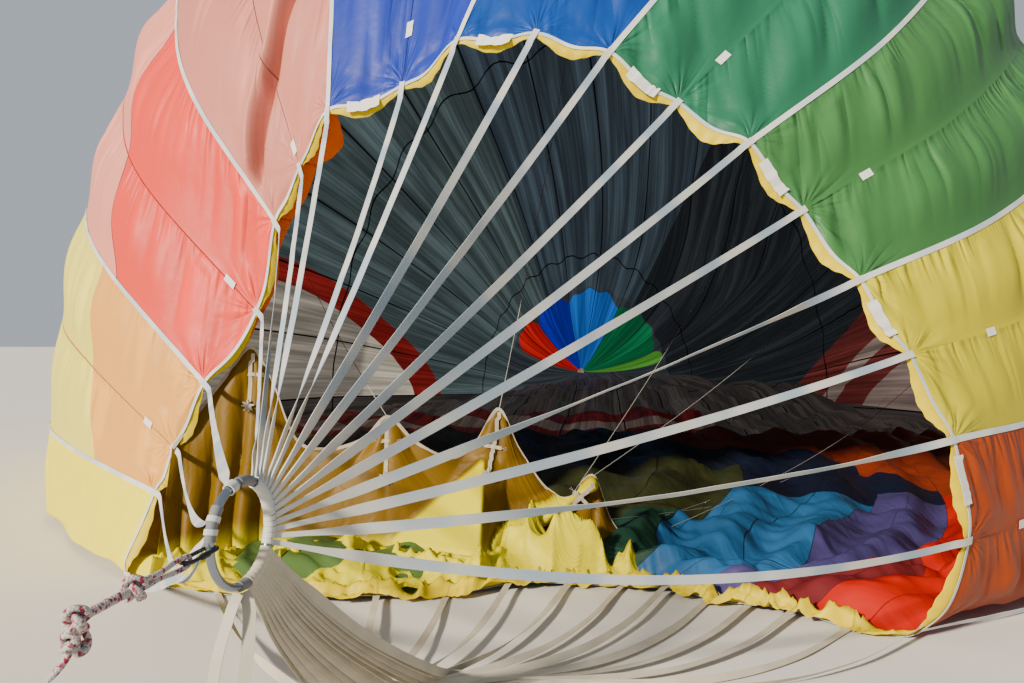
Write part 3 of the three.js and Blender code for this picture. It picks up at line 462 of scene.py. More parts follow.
# %% [markdown]
# ## Nylon
# The cloth is nylon of about 50 grams a square metre with a polyurethane coat: a little shiny, and thin enough for
# some light to come through. A fine ripstop grid shows close to. On the outside each colour has a sewn seam down its
# middle. On the inside every seam is covered by a black tape.

# %% Cloth materials
def ramp(value, low, high, start=1.0, end=0.0, kind="SMOOTHSTEP"):
    """Step from start at low to end at high."""
    limits = {"Value": value, "From Min": low, "From Max": high, "To Min": start, "To Max": end}
    return node(value.tree, "MapRange", limits, interpolation_type=kind)


def rescaled(value, start, end):
    return ramp(value, 0, 1, start, end, "LINEAR")


def bump(height, strength, distance, under=None):
    """Normal of a surface with this height. under is the normal of the coarser relief below it."""
    inputs = {"Height": height, "Strength": strength, "Distance": distance}
    return node(height.tree, "Bump", inputs | ({"Normal": under} if under else {}))


def uv(tree, layer):
    return node(tree, "UVMap", uv_map=layer)


def parts(vector):
    """X and Y of a vector."""
    x = node(vector.tree, "SeparateXYZ", {"Vector": vector})
    return x, Signal(x.socket.node.outputs["Y"])


def gore_and_row(tree):
    return parts(uv(tree, "gore_row"))


def two_tones(colour, spread=0.06):
    """The linear colour a little darker and a little lighter."""
    return [[c * (1 + side) for c in linear(colour)[:3]] + [1.0] for side in (-spread, spread)]


def printed(paint, prints):
    """Paint with prints over it: pairs of a function that makes a mask in a tree, and a colour."""
    for mask, colour in prints:
        paint = mixed(mask(paint.tree), paint, linear(colour))
    return paint


def seam_line(every, offset, half_width):
    """Mask of the seams, from the gore number."""
    return lambda tree: (gore_and_row(tree)[0] + offset).math("PINGPONG", every / 2) < half_width


def ridges_between(x, y, number, across, down, distortion=0.0):
    """Rounded ridges with narrow valleys, from 0 to 1: so many a unit across, with a slower change down them."""
    place = node(x.tree, "CombineXYZ", {"X": x * across, "Y": y * down, "Z": number})
    return (clouds(place, 1.0, 0.6, distortion=distortion) * 4.0 - 2.0).math("ABSOLUTE")


def fold_height(tree, hangs):
    """Height in metres of the short folds that hang from the seam above, and of those that fan out from the rim.
    hangs is 1 where the seam above has the lower number and -1 where it has the higher one."""
    level, up = parts(uv(tree, "folds"))
    gore, rim = gore_and_row(tree)[0], parts(uv(tree, "metres"))[1]
    share = gore.math("FRACT")
    below = share if hangs > 0 else share * -1.0 + 1.0
    bay = gore.math("FLOOR") * 3.7
    uneven = ridges_between(level, up, bay, 1.3, 0.3) * 0.018 + 0.007
    gathers = ridges_between(level, up, bay, 14.0, 1.0) * ramp(below, 0.0, 0.38) * uneven
    other_bay = bay + 31.0
    patchy = ramp(ridges_between(level, up, other_bay, 2.1, 0.5), 0.1, 0.8, 0.1, 1.0)
    long = ridges_between(level, up, other_bay, 5.0, 0.4, 0.4) * ramp(below, 0.02, 0.2, 0.0, 1.0)
    long = long * ramp(below, 0.3, 1.0) * patchy * 0.034
    beside = ((gore + 0.5).math("FRACT") - 0.5) * 0.75
    reach = (rim * rim + beside * beside).math("SQRT")
    fan = ridges_between(rim.math("ARCTAN2", beside), reach, gore.math("ROUND") * 5.3, 3.6, 1.6)
    fan = fan * ramp(reach, 0.02, 0.14, 0.0, 1.0) * ramp(reach, 0.1, 0.5) * 0.010
    return gathers + long + fan


def cloth_material(name, colour, spread=0.06, through=0.18, seam=None, wrinkle=1.0, prints=(), hangs=0):
    """Coated nylon. through is the share of light that comes through it, seam is a mask and a colour, and hangs says
    which seam the folds hang from: 0 is for cloth that lies or is lined."""
    material, tree, shader = new_material(name, Specular_IOR_Level=0.25)
    folds, metres = uv(tree, "folds"), uv(tree, "metres")
    # slight fading and dust
    paint = mixed(clouds(folds, 1.7, 5.0, 0.6), *two_tones(colour, spread))
    paint = printed(paint, (*prints, seam) if seam else prints)
    # creases, then small crumples, then a ripstop grid of 5 mm
    if hangs:
        height = fold_height(tree, hangs)
        # less light gets down into the valleys
        paint = mixed(1.0, paint, ramp(height, 0.0, 0.014, 0.84, 1.0), "MULTIPLY")
        first = bump(height, 1.0, 1.0)
    else:
        stretched = node(tree, "Mapping", {"Vector": folds, "Scale": (7.0, 0.9, 1.0)})
        first = bump(clouds(stretched, 1.0, distortion=0.4), 0.6, 0.035 * wrinkle)
    crumple = clouds(metres, 11.0, 3.0)
    sizes = {"Scale": 200.0, "Mortar Size": 0.12, "Mortar Smooth": 0.4, "Brick Width": 1.0, "Row Height": 1.0}
    grid = node(tree, "TexBrick", {"Vector": metres, **sizes}, "Fac", offset=0.0)
    normal = bump(grid, 0.15, 0.0004, bump(crumple, 0.3, 0.010, first))
    feed(shader, {"Base Color": paint, "Roughness": rescaled(crumple, 0.38, 0.55), "Normal": normal})
    glow = node(tree, "BsdfTranslucent", {"Color": paint, "Normal": first})
    both = node(tree, "MixShader", {"Fac": through, 1: Signal(shader.outputs["BSDF"]), 2: glow})
    feed(tree.nodes["Material Output"], {"Surface": both})
    return material

# %% Building cloth
def sharpen(mesh):
    """Makes the edges of flat faces sharp, so the smooth faces beside them keep their own shading."""
    totals, smooth = np.empty(len(mesh.polygons), int), np.empty(len(mesh.polygons), bool)
    mesh.polygons.foreach_get("loop_total", totals)
    mesh.polygons.foreach_get("use_smooth", smooth)
    edge_of = np.empty(len(mesh.loops), int)
    mesh.loops.foreach_get("edge_index", edge_of)
    sharp = np.zeros(len(mesh.edges), bool)
    sharp[edge_of[np.repeat(~smooth, totals)]] = True
    mesh.edges.foreach_set("use_edge_sharp", sharp)


def new_mesh(name, points, faces, smooth, slots, maps, materials):
    """Object with a new mesh. maps are its UV maps, by name."""
    mesh = bpy.data.meshes.new(name)
    mesh.from_pydata(points.tolist(), [], faces)
    mesh.polygons.foreach_set("use_smooth", smooth)
    mesh.polygons.foreach_set("material_index", slots)
    for layer, places in maps.items():
        mesh.uv_layers.new(name=layer).data.foreach_set("uv", np.asarray(places).ravel())
    for material in materials:
        mesh.materials.append(material)
    return put(name, mesh)


def shell(name, at, outer, inner, materials):
    """Closed sheet between two grids of points. Material slots: 0 outside and edges, 1 inside."""
    size = outer[..., 0].size
    grid = np.arange(size).reshape(outer.shape[:2])
    a, b, c, d = grid[:-1, :-1], grid[:-1, 1:], grid[1:, 1:], grid[1:, :-1]
    outside = np.stack([a, b, c, d], axis=-1).reshape(-1, 4)
    inside = np.stack([a, d, c, b], axis=-1).reshape(-1, 4) + size
    border = np.concatenate([grid[0, :], grid[1:, -1], grid[-1, -2::-1], grid[-2:0:-1, 0]])
    after = np.roll(border, -1)
    edges = np.stack([border + size, after + size, after, border], axis=-1)
    faces = np.concatenate([outside, inside, edges])
    smooth = np.arange(len(faces)) < 2 * len(outside)
    slots = smooth * (np.arange(len(faces)) >= len(outside))
    corner = np.tile(np.arange(size), 2)[faces.ravel()]
    maps = {
        "gore_row": (at["gore"], at["row"]),
        "metres": ((at["gore"] - at["gore"][0, 0]) * at["width"], at["rim"]),
        "folds": (at["h"], at["v"]),
    }
    maps = {layer: np.stack([u.ravel()[corner], v.ravel()[corner]], axis=-1) for layer, (u, v) in maps.items()}
    points = np.concatenate([outer.reshape(-1, 3), inner.reshape(-1, 3)])
    made = new_mesh(name, points, faces.tolist(), smooth, slots.astype(int), maps, materials)
    sharpen(made.data)
    return made


def flat_size(points):
    """Width and length of a grid of cloth laid flat, with its area in square metres."""
    a = np.cross(points[1:, :-1] - points[:-1, :-1], points[:-1, 1:] - points[:-1, :-1])
    b = np.cross(points[1:, 1:] - points[1:, :-1], points[1:, 1:] - points[:-1, 1:])
    area = float((np.linalg.norm(a, axis=-1).sum() + np.linalg.norm(b, axis=-1).sum()) / 2)
    across = np.linalg.norm(np.diff(points, axis=1), axis=-1).sum(1).max()
    down = np.linalg.norm(np.diff(points, axis=0), axis=-1).sum(0).max()
    return (float(across), float(down)), min(area, float(across * down))


def declare(made, points, stands_for=None):
    """Attaches a sheet to the balloon's body, hides the solid it stands for and prints what it measures laid flat."""
    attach(made, "balloon")
    if stands_for:
        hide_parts(stands_for)
    flat, area = flat_size(points)
    print(made.name, len(made.data.polygons), "faces, flat", [round(v, 2) for v in flat])


def stepped(*stretches):
    """Rows at even steps: each stretch is (from, to, number of steps)."""
    rows = [np.linspace(a, b, n + 1)[:-1] for a, b, n in stretches]
    return np.append(np.concatenate(rows), stretches[-1][1])


def gore_columns(first, last, a_gore):
    """Columns of cloth, with close ones on both sides of each seam for the sewn ridge."""
    columns = []
    for j in range(first, last):
        columns += [j, j + 0.012, j + 0.024]
        columns += list(j + np.linspace(0.024, 0.976, a_gore + 1)[1:-1]) + [j + 0.976, j + 0.988]
    return np.array(columns + [last], float)

# %% [markdown]
# ## Crown panels
# Sixteen panels, each two gores wide, run from the rim to the plain bands. Each one is a single sheet, sewn to its
# neighbours under the white tapes. Those in view are made with a closer grid. The middle seam stands up a few
# millimetres, because it is a flat-felled seam of four layers.

# %% Crown panels
CROWN_END = 4.5
SKIN_OUT = 0.006  # outer face of the cloth, above the inner face of its solid
SKIN_IN = 0.003
# Name, colour outside, and the number of columns a gore; clockwise from the top
PANELS = [
    ("violet", "#2139a4", 22), ("blue", "#0a4598", 22), ("dark_green", "#2a7052", 22), ("light_green", "#427741", 22),
    ("yellow", "#cbc020", 22), ("orange", "#a2400c", 20), ("red", "#b81808", 24), ("maroon", "#6d2226", 26),
    ("violet_low", "#463f70", 26), ("blue_low", "#2a5f8e", 26), ("dark_green_low", "#1f4030", 26),
    ("light_green_low", "#4f6b34", 26), ("yellow_low", "#f1e21f", 20), ("peach", "#f1ac4f", 22),
    ("coral", "#f14838", 22), ("rose", "#d88776", 22),
]  # fmt: skip
GROUND_GORES = (12, 25)
crown_rows = stepped((0, 0.1, 6), (0.1, 1.3, 66), (1.3, 2.4, 40), (2.4, CROWN_END, 24))


def raised(at, stands, lift):
    """The places moved out of the cloth and up."""
    return at["points"] + at["outwards"] * stands[..., None] + UP * lift[..., None]


def cloth_places_and_folds(columns, rows):
    at = cloth_places(columns, rows)
    lies = smoothstep(GROUND_GORES[0] - 0.6, GROUND_GORES[0] + 0.5, at["gore"])
    lies = lies * (1 - smoothstep(GROUND_GORES[1] - 0.5, GROUND_GORES[1] + 0.3, at["gore"]))
    if rows[0] > 0:
        at["rim"] = at["rim"] + 1.0
    stands = hanging_folds(at) * (1 - lies) * fade_at_joints(at["row"])
    lift = crumpled(at) * lies * smoothstep(0, 0.35, at["rim"]) * (1 + 0.3 * smoothstep(4.5, 5.2, at["row"]))
    return at, stands, lift


def skin_sheet(name, at, middle, materials):
    made = shell(f"{name}_cloth", at, *(middle + at["outwards"] * out for out in (SKIN_OUT, SKIN_IN)), materials)
    declare(made, middle, name)


def past(first, start, slope, stop=9.0):
    """Mask of the part past a row that rises with the gore from the first one, and before the row stop."""

    def mask(tree):
        gore, row = gore_and_row(tree)
        return (row > (gore - first) * slope + start) * (row < stop)

    return mask


# On the ground the next colours show past a seam. The coral and peach panels turn paler past a level seam, and the
# coral one has a dark line along it.
LYING_PRINTS = {
    "red": ((past(12, 2.5, 0.0), "#8a3216"),),
    "maroon": (
        (past(14, 0.55, 0.3, 1.6), "#b81808"), (past(14, 1.6, 0.0), "#b81808"), (past(14, 2.6, 0.05), "#8a3216"),
    ),
    "violet_low": ((past(16, 2.55, 0.1), "#141a30"), (past(16, 2.85, 0.2), "#8a3216")),
    "blue_low": ((past(18, 2.5, 0.0), "#141a30"), (past(18, 3.6, 0.2), "#8a3216")),
    "dark_green_low": ((past(20, 1.9, 0.0), "#34381c"), (past(20, 3.4, 0.0), "#1c2230")),
    "light_green_low": ((past(22, 1.5, 0.0), "#6e4212"), (past(22, 3.0, 0.0), "#34381c")),
}  # fmt: skip
PRINTS = {
    "coral": ((past(28, 0.87, 0.44), "#5a3230"), (past(28, 0.882, 0.44), "#f19a85")),
    "peach": ((past(28, 1.12, 0.22), "#f1e561"),),
}
BLACK_TAPE = "#101214"
for i, (name, colour, columns) in enumerate(PANELS):
    hangs = 1 if 1 <= i <= 5 else -1 if i == 0 or i >= 13 else 0
    outside = cloth_material(
        f"{name} nylon", colour, seam=(seam_line(2, 1, 0.011), colour), prints=PRINTS.get(name, ()), hangs=hangs
    )
    inside = cloth_material(
        f"{name} nylon inside", colour, seam=(seam_line(1, 0, 0.006), BLACK_TAPE), prints=LYING_PRINTS.get(name, ())
    )
    at, stands, lift = cloth_places_and_folds(gore_columns(2 * i, 2 * i + 2, columns), crown_rows)
    # the middle seam stands up, and more so on the panels that hang from their lower gore
    from_seam = np.abs(np.mod(at["gore"] + 2, 2) - 1) * at["width"]
    stands = stands + (0.0025 if hangs > 0 else 0.0008) * (1 - smoothstep(0.006, 0.012, from_seam))
    skin_sheet(f"crown_panel_{name}", at, raised(at, stands, lift), (outside, inside))

# %% [markdown]
# ## Bands and mouth
# Behind the crown panels the envelope is dark inside: its inside is painted as a dark grey cloth, painted shade, with a
# painted glow for the light that comes through it, black seams, and long creases that hang from the seams. The left and
# right walls carry large plain shapes in off-white and red. At the mouth each colour comes back as a petal with a round
# top. The throat is slack and has drawn together, so the petals meet in one point when they are seen from the crown.

# %% Prints on the inside
SEAM_BLACK = "#0b0c0e"
# dark grey painted into the lining as painted shade
PAINTED_SHADE_LINING = "#33383c"


def between(value, low, high):
    return (value > low) * (value < high)


def oval(gore, row, half_gores, half_rows, low=-1.0, high=1.0):
    """Mask of an ellipse in gores and rows, or of the ring between two shares of its size."""

    def mask(tree):
        g, r = gore_and_row(tree)
        across, down = (g - gore) * (1 / half_gores), (r - row) * (1 / half_rows)
        return between((across * across + down * down).math("SQRT"), low, high)

    return mask


def floor_left(low, high):
    """Mask of the cloth on the ground left of gore 18.5, between two rows."""
    return lambda tree: (gore_and_row(tree)[0] > 18.5) * between(gore_and_row(tree)[1], low, high)


def inside_cloth(name, colour, prints=(), wrinkle=1.2, painted_glow=0.5):
    """Cloth of the bands with black seams, painted dark as painted shade, with a painted glow for light through it."""
    material, tree, shader = new_material(name, Specular_IOR_Level=0.3, Roughness=0.55)
    gore, row = gore_and_row(tree)
    # painted light and shade in broad patches, for the streaks where more daylight comes through
    paint = mixed(clouds(uv(tree, "metres"), 0.4, 5.0, 0.65), *two_tones(colour, 0.35))
    # thin black tapes run round the envelope
    hoops = (lambda tree: (row + 0.35).math("PINGPONG", 0.8) < 0.006, SEAM_BLACK)
    paint = printed(paint, (*prints, (seam_line(1, 0, 0.013), SEAM_BLACK), hoops))
    # fine creases run along the gores, and broad ones between them
    fine = ridges_between(gore, row, 0.0, 15.0, 0.8, 0.4)
    broad = ridges_between(gore, row, 9.0, 3.0, 0.45, 0.6)
    # painted shade in the valleys of the creases and painted light on their ridges
    tone = mixed(1.0, paint, ramp(fine, 0.0, 0.7, 0.72, 1.1) * ramp(broad, 0.0, 0.9, 0.6, 1.2), "MULTIPLY")
    normal = bump(fine * (0.016 * wrinkle) + broad * (0.06 * wrinkle), 1.0, 1.0)
    # painted glow: the cloth gives off light of its own colour, for the light that comes through it
    feed(shader, {"Base Color": tone, "Normal": normal, "Emission Color": tone, "Emission Strength": painted_glow})
    return material


LEFT_OVAL = (-6.2, 5.4, 1.92, 1.42)
RIGHT_OVAL = (11.6, 4.5, 2.9, 2.1)
left_prints = (
    (oval(-6.2, 5.5, 2.25, 1.62), "#8e2420"),
    (oval(*LEFT_OVAL), "#a39a8c"),
    # the sun shines on this part of it
    (lambda tree: oval(*LEFT_OVAL)(tree) * ramp(gore_and_row(tree)[1], 6.28, 6.36, 0.0, 1.0), "#e8dcc4"),
)
right_prints = (
    (oval(*RIGHT_OVAL), "#7a3632"),
    (oval(*RIGHT_OVAL, 0.74, 0.82), "#a58f84"),
    (oval(*RIGHT_OVAL, -1.0, 0.6), "#a58f84"),
)
floor_prints = ((floor_left(0.0, 5.35), "#7c2420"), (floor_left(4.62, 4.95), "#9a8578"))
# four copies of one grey cloth, each painted its own grey as painted light and shade, and each with its own painted
# glow: strongest on the left and top, weaker on the right and weakest on the ground
wall_left = inside_cloth("grey envelope lining left", "#4f5d5e", left_prints, painted_glow=0.75)
wall_top = inside_cloth("grey envelope lining top", "#3f4b54", painted_glow=0.75)
wall_right = inside_cloth("grey envelope lining right", PAINTED_SHADE_LINING, right_prints, painted_glow=0.5)
wall_floor = inside_cloth("grey envelope lining on the ground", "#6d6560", floor_prints, painted_glow=0.2)
outside_cream, outside_grey = (
    cloth_material(name, colour, seam=(seam_line(1, 0, 0.010), "#e6e2da"))
    for name, colour in (("cream nylon", "#d9cfbd"), ("grey nylon", "#8d9699"))
)

# Petals at the mouth, two gores wide, from gore -7. Inside only those of the top and the left catch light: they are
# painted in their colours with a painted glow, and the rest is left as dark lining, painted shade.
PETALS = [
    "#8a6a10", "#a83a14", "#b01c14", "#1b2090", "#1458a8", "#0c6038", "#4a8a30", "#6e6a18",
    "#8a3a14", "#7a1414", "#4a1650", "#20207a", "#124a80", "#0c4a30", "#3f6a20", "#807018",
]  # fmt: skip
LIT_PETALS = range(2, 7)


def petal(first, start):
    """Mask of a petal with a round top, from its first gore and the row of its top."""

    def mask(tree):
        gore, row = gore_and_row(tree)
        top = (gore - (first + 1)).math("ABSOLUTE").math("POWER", 3.0) * 0.16 + start
        return between(gore, first, first + 2) * (row > top)

    return mask


# bright outside; inside with a painted glow, and with the dark lining, painted shade, above the petals' round tops
petals_outside, petals_inside = (
    inside_cloth(
        f"rainbow nylon {side}", PAINTED_SHADE_LINING, [(petal(2 * i - 7, start), PETALS[i]) for i in shown], 0.7, painted_glow
    )
    for side, start, shown, painted_glow in (("outside", 7.0, range(16), 0.0), ("inside", 8.02, LIT_PETALS, 1.1))
)

# %% Bands
THROAT = (2.86, -0.26)  # x and height of the point where the slack throat draws together
BANDS = [
    ("cream_band", stepped((4.5, 6.1, 40)), outside_cream),
    ("grey_band", stepped((6.1, 8, 44)), outside_grey),
    ("mouth_band", stepped((8, 9.6, 40), (9.6, 10, 8)), petals_outside),
]
# Side, first and last gore, columns a gore, lining
SIDES = [
    ("left", -6, 0, 10, wall_left), ("top", 0, 5, 10, wall_top), ("right", 5, 11, 10, wall_right),
    ("floor", 11, 26, 9, wall_floor),
]  # fmt: skip
# near the throat the slack cloth has slid round to the right: place in gores, and the gore that has come there
SLID = ((-7, -3, -1, 1.3, 4.35, 7.7, 8.5, 12, 26), (-7, -3, -1, 1, 3, 5, 7, 12, 26))

for band, rows, outside in BANDS:
    for side, first, last, a_gore, wall in SIDES:
        at, stands, lift = cloth_places_and_folds(gore_columns(first, last, a_gore), rows)
        gore, row, x = at["gore"], at["row"], at["points"][..., 0]
        stands = stands * 1.6 * np.minimum(1, at["width"] / 0.9)
        mound = smoothstep(5.2, 6.4, row) * (1 - smoothstep(7.4, 8.4, row))
        mound = mound * smoothstep(11.5, 14, gore) * (1 - smoothstep(20, 24.5, gore))
        lift = lift * np.minimum(1, at["width"] / 0.25) + mound * (0.42 + 0.2 * noise(x * 0.4, row * 1.2, 41))
        middle = raised(at, stands, lift)
        # the cloth near the mouth is pulled together round the throat, and let out again at the mouth itself
        share = 1 - 0.9 * (smoothstep(8.2, 9.25, row) * (1 - smoothstep(9.45, 10.0, row)))
        for axis, centre in zip((0, 2), THROAT):
            middle[..., axis] = centre + (middle[..., axis] - centre) * share
        at["gore"] = gore + (np.interp(gore, *SLID) - gore) * smoothstep(5.0, 7.8, row)
        skin_sheet(f"{band}_{side}", at, middle, (outside, petals_inside if band == "mouth_band" else wall))

# %% [markdown]
# ## Webbing
# All tapes are woven polyester webbing. A load tape is 38 mm wide and 2 mm thick, with a rib along each edge. The
# tapes on the envelope are sewn over the joints between two colours and hide them. A narrow white tape binds the
# vent's rim. Ribbons are swept along a line with a direction across them, so they can turn and lie flat on cloth.

# %% Ribbons and tubes
def webbing(name, colour, rib=0.0035, dirt=0.12, painted_sky=None):
    """Woven tape, with some stretches painted bluish grey, a painted reflection of the sky."""
    material, tree, shader = new_material(name, Roughness=0.62, Specular_IOR_Level=0.3)
    place = uv(tree, "metres")
    ribs, picks = (
        node(tree, "TexWave", {"Vector": place, "Scale": 1 / pitch / 6.28}, "Fac", bands_direction=way)
        for way, pitch in (("X", rib), ("Y", 0.0022))
    )
    weave = ribs * picks
    soiled = [c * (1 - dirt * 2) for c in linear(colour)[:3]] + [1]
    paint = mixed(clouds(place, 7.0, 4.0), linear(colour), soiled)
    # painted reflection of the sky on some stretches of the tape
    if painted_sky:
        paint = mixed(ramp(clouds(place, 1.6), 0.42, 0.6, 0.0, 1.0), paint, linear(painted_sky))
    # painted shade in the hollows of the weave
    tone = mixed(1.0, paint, rescaled(weave, 0.82, 1.0), "MULTIPLY")
    feed(shader, {"Base Color": tone, "Normal": bump(weave, 0.6, 0.0005)})
    return material


def spokes(turn, u, v):
    """Unit circle in the plane of two directions, at these angles."""
    return np.cos(turn)[:, None] * u + np.sin(turn)[:, None] * v


def corners_of(sides):
    return np.arange(sides) * 2 * np.pi / sides


def dropped(vectors, way):
    """Unit vectors at right angles to a direction."""
    return unit(vectors - (vectors * way).sum(-1, keepdims=True) * way)


def round_sides(count, step):
    """Sides of a closed tube: corner, next corner and the places of both round it."""
    return [(i, (i + 1) % count, i * step, (i + 1) * step, True) for i in range(count)]


def lengths(line):
    """Distance along a line at each of its points."""
    return np.concatenate([[0], np.cumsum(np.linalg.norm(np.diff(line, axis=0), axis=1))])


class Build:
    """Collects swept strips and tubes, then makes them one mesh with a UV map in metres."""

    def __init__(self):
        self.points, self.faces, self.uvs, self.smooth, self.slots = [], [], [], [], []
        self.count = 0

    def face(self, corners, uvs, smooth, slot):
        self.faces.append(corners)
        self.uvs += uvs
        self.smooth.append(smooth)
        self.slots.append(slot)

    def add(self, rings, sides, slot=0, closed=False):
        """rings: points (stations, corners, 3). sides: (corner i, corner j, u at i, u at j, smooth) each."""
        stations, corners = rings.shape[:2]
        length = lengths(rings.mean(1))
        base, last = self.count, self.count + (stations - 1) * corners
        self.points.append(rings.reshape(-1, 3))
        self.count += stations * corners
        for i, j, ui, uj, smooth in sides:
            k = np.arange(stations - 1) * corners + base
            self.faces += np.stack([k + i, k + j, k + j + corners, k + i + corners], axis=1).tolist()
            low, high = length[:-1], length[1:]
            one = np.ones_like(low)
            uv = np.stack([ui * one, low, uj * one, low, uj * one, high, ui * one, high], axis=1)
            self.uvs += uv.reshape(-1, 2).tolist()
            self.smooth += [smooth] * (stations - 1)
            self.slots += [slot] * (stations - 1)
        if closed:
            for i, j, ui, uj, smooth in sides:
                uvs = [[ui, 0], [uj, 0], [uj, 0.01], [ui, 0.01]]
                self.face([last + i, last + j, base + j, base + i], uvs, smooth, slot)
        else:
            for start, order in ((base, range(corners - 1, -1, -1)), (last, range(corners))):
                self.face([start + i for i in order], [[0.0, 0.0]] * corners, False, slot)

    def ribbon(self, centre, side, normal, width, thickness, slot=0):
        """Closed strip; width may change along it."""
        side, normal = np.broadcast_to(side, centre.shape), np.broadcast_to(normal, centre.shape)
        half = (np.broadcast_to(width, len(centre)) / 2)[:, None]
        deep = (np.broadcast_to(thickness, len(centre)) / 2)[:, None]
        a, b = side * half, normal * deep
        rings = np.stack([centre - a - b, centre + a - b, centre + a + b, centre - a + b], axis=1)
        w = float(np.max(width))
        order = [(0, 1, 0, w, True), (1, 2, w, w + 0.002, False), (2, 3, w, 0, True), (3, 0, 0.002, 0, False)]
        if np.cross(side[0], normal[0]) @ (centre[1] - centre[0]) <= 0:
            rings = rings[:, ::-1]
        self.add(rings, order, slot)

    def tube(self, centre, radius, sides=12, slot=0):
        """Round tube along points, with frames carried along it."""
        centre = np.asarray(centre, float)
        tangent = unit(np.gradient(centre, axis=0))
        sides_at = [unit(np.cross(tangent[0], ANY_WAY))]
        for t in tangent[1:]:
            previous = sides_at[-1]
            sides_at.append(unit(previous - (previous @ t) * t))
        u = np.array(sides_at)
        v = np.cross(tangent, u)
        angles = corners_of(sides)
        r = np.broadcast_to(radius, len(centre))[:, None, None]
        circle = np.cos(angles)[None, :, None] * u[:, None] + np.sin(angles)[None, :, None] * v[:, None]
        self.add(centre[:, None] + r * circle, round_sides(sides, 2 * np.pi * float(np.max(radius)) / sides), slot)

    def ring(self, centre, radius, tube, x_axis, y_axis, steps=64, sides=16, slot=0):
        """Torus round centre in the plane of the two axes."""
        out = spokes(np.linspace(0, 2 * np.pi, steps + 1), x_axis, y_axis)[:-1]
        angles = corners_of(sides)
        circle = np.cos(angles)[None, :, None] * out[:, None]
        circle = circle + np.sin(angles)[None, :, None] * np.cross(x_axis, y_axis)
        rings = centre + radius * out[:, None] + tube * circle
        self.add(rings, round_sides(sides, 2 * np.pi * tube / sides), slot, closed=True)

    def turned(self, base, axis, profile, sides=48, slot=0):
        """Turned piece: radius and distance along the axis of each step, from one end to the other."""
        axis = unit(np.asarray(axis, float))
        u = unit(np.cross(axis, ANY_WAY))
        circle = spokes(corners_of(sides), u, np.cross(axis, u))
        rings = np.array([np.asarray(base, float) + axis * along + radius * circle for radius, along in profile])
        self.add(rings, round_sides(sides, 2 * np.pi * max(radius for radius, along in profile) / sides), slot)

    def make(self, name, materials, body="balloon", replaces=None, hard=False):
        maps = {"metres": self.uvs}
        made = new_mesh(name, np.concatenate(self.points), self.faces, self.smooth, self.slots, maps, materials)
        if hard:
            made.data.set_sharp_from_angle(angle=math.radians(32))
        else:
            sharpen(made.data)
        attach(made, body)
        if replaces:
            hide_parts(replaces)
        print(name, len(made.data.polygons), "faces")
        return made


ANY_WAY = [0.3, 0.2, 1.0]  # a direction that no tube starts in


def smooth_line(points, count):
    """count points at even distances on a Catmull-Rom line through the given ones."""
    p = np.asarray(points, float)
    p = np.concatenate([[2 * p[0] - p[1]], p, [2 * p[-1] - p[-2]]])
    steps = np.linspace(0, 1, 24, endpoint=False)
    fine = np.array([spline(*p[i - 1 : i + 3], s) for i in range(1, len(p) - 2) for s in steps] + [p[-2]])
    away = lengths(fine)
    at = np.linspace(0, away[-1], count)
    return np.stack([np.interp(at, away, fine[:, i]) for i in range(3)], axis=1)


white_webbing = webbing("off-white polyester webbing", "#e4e4e0", painted_sky="#b4bfc9")

# %% Tapes on the envelope and the rim
SEAM_TAPE_WIDTH = 0.033
build = Build()
tape_rows = stepped((0, 1.3, 50), (1.3, 4.5, 50), (4.5, 8, 40))
for g in range(-6, 26, 2):
    gores = slid(np.full_like(tape_rows, g), tape_rows)
    along, around, outwards = skin_frame(gores, tape_rows)
    ripple = 0.0025 * noise(tape_rows * 9, g * 3.7, 51)[:, None]
    build.ribbon(skin(gores, tape_rows) + outwards * (0.010 + ripple), around, outwards, SEAM_TAPE_WIDTH, 0.002)
build.make("seam_tapes", (white_webbing,))

rim_gores = np.arange(-7, 25.001, 1 / 24)
along, around, outwards = skin_frame(rim_gores, np.zeros_like(rim_gores))
wave = (0.004 * noise(rim_gores * 3.1, 0.5, 52) + 0.002)[:, None]
build = Build()
build.ribbon(skin(rim_gores, 0.0) - along * (0.006 + wave) + outwards * 0.009, along, outwards, 0.024, 0.002)
build.make("rim_tape", (white_webbing,))

# %% [markdown]
# The yellow band past the rim is a single layer of nylon that seals against the parachute when the vent is shut. It is
# narrow where a load tape crosses it and wide between two tapes, and its free edge curls.

# %% Yellow band of the vent
STRIP_OUT, STRIP_IN = 0.0065, 0.0035


def edge_strip(columns, count, row=0.0):
    """For a strip along a row: its places, the line there, the directions, and grids of gore and share of width."""
    low = min(row, MOUTH - 0.02)
    at = cloth_places(columns, np.linspace(low, low + 0.02, count))
    rows = np.full_like(columns, row)
    return at, skin(columns, rows), skin_frame(columns, rows), *np.meshgrid(columns, np.linspace(0, 1, count))


def strip_shell(name, at, points, outwards, cloth):
    at["points"] = points
    return shell(name, at, points + outwards * STRIP_OUT, points + outwards * STRIP_IN, (cloth, cloth))


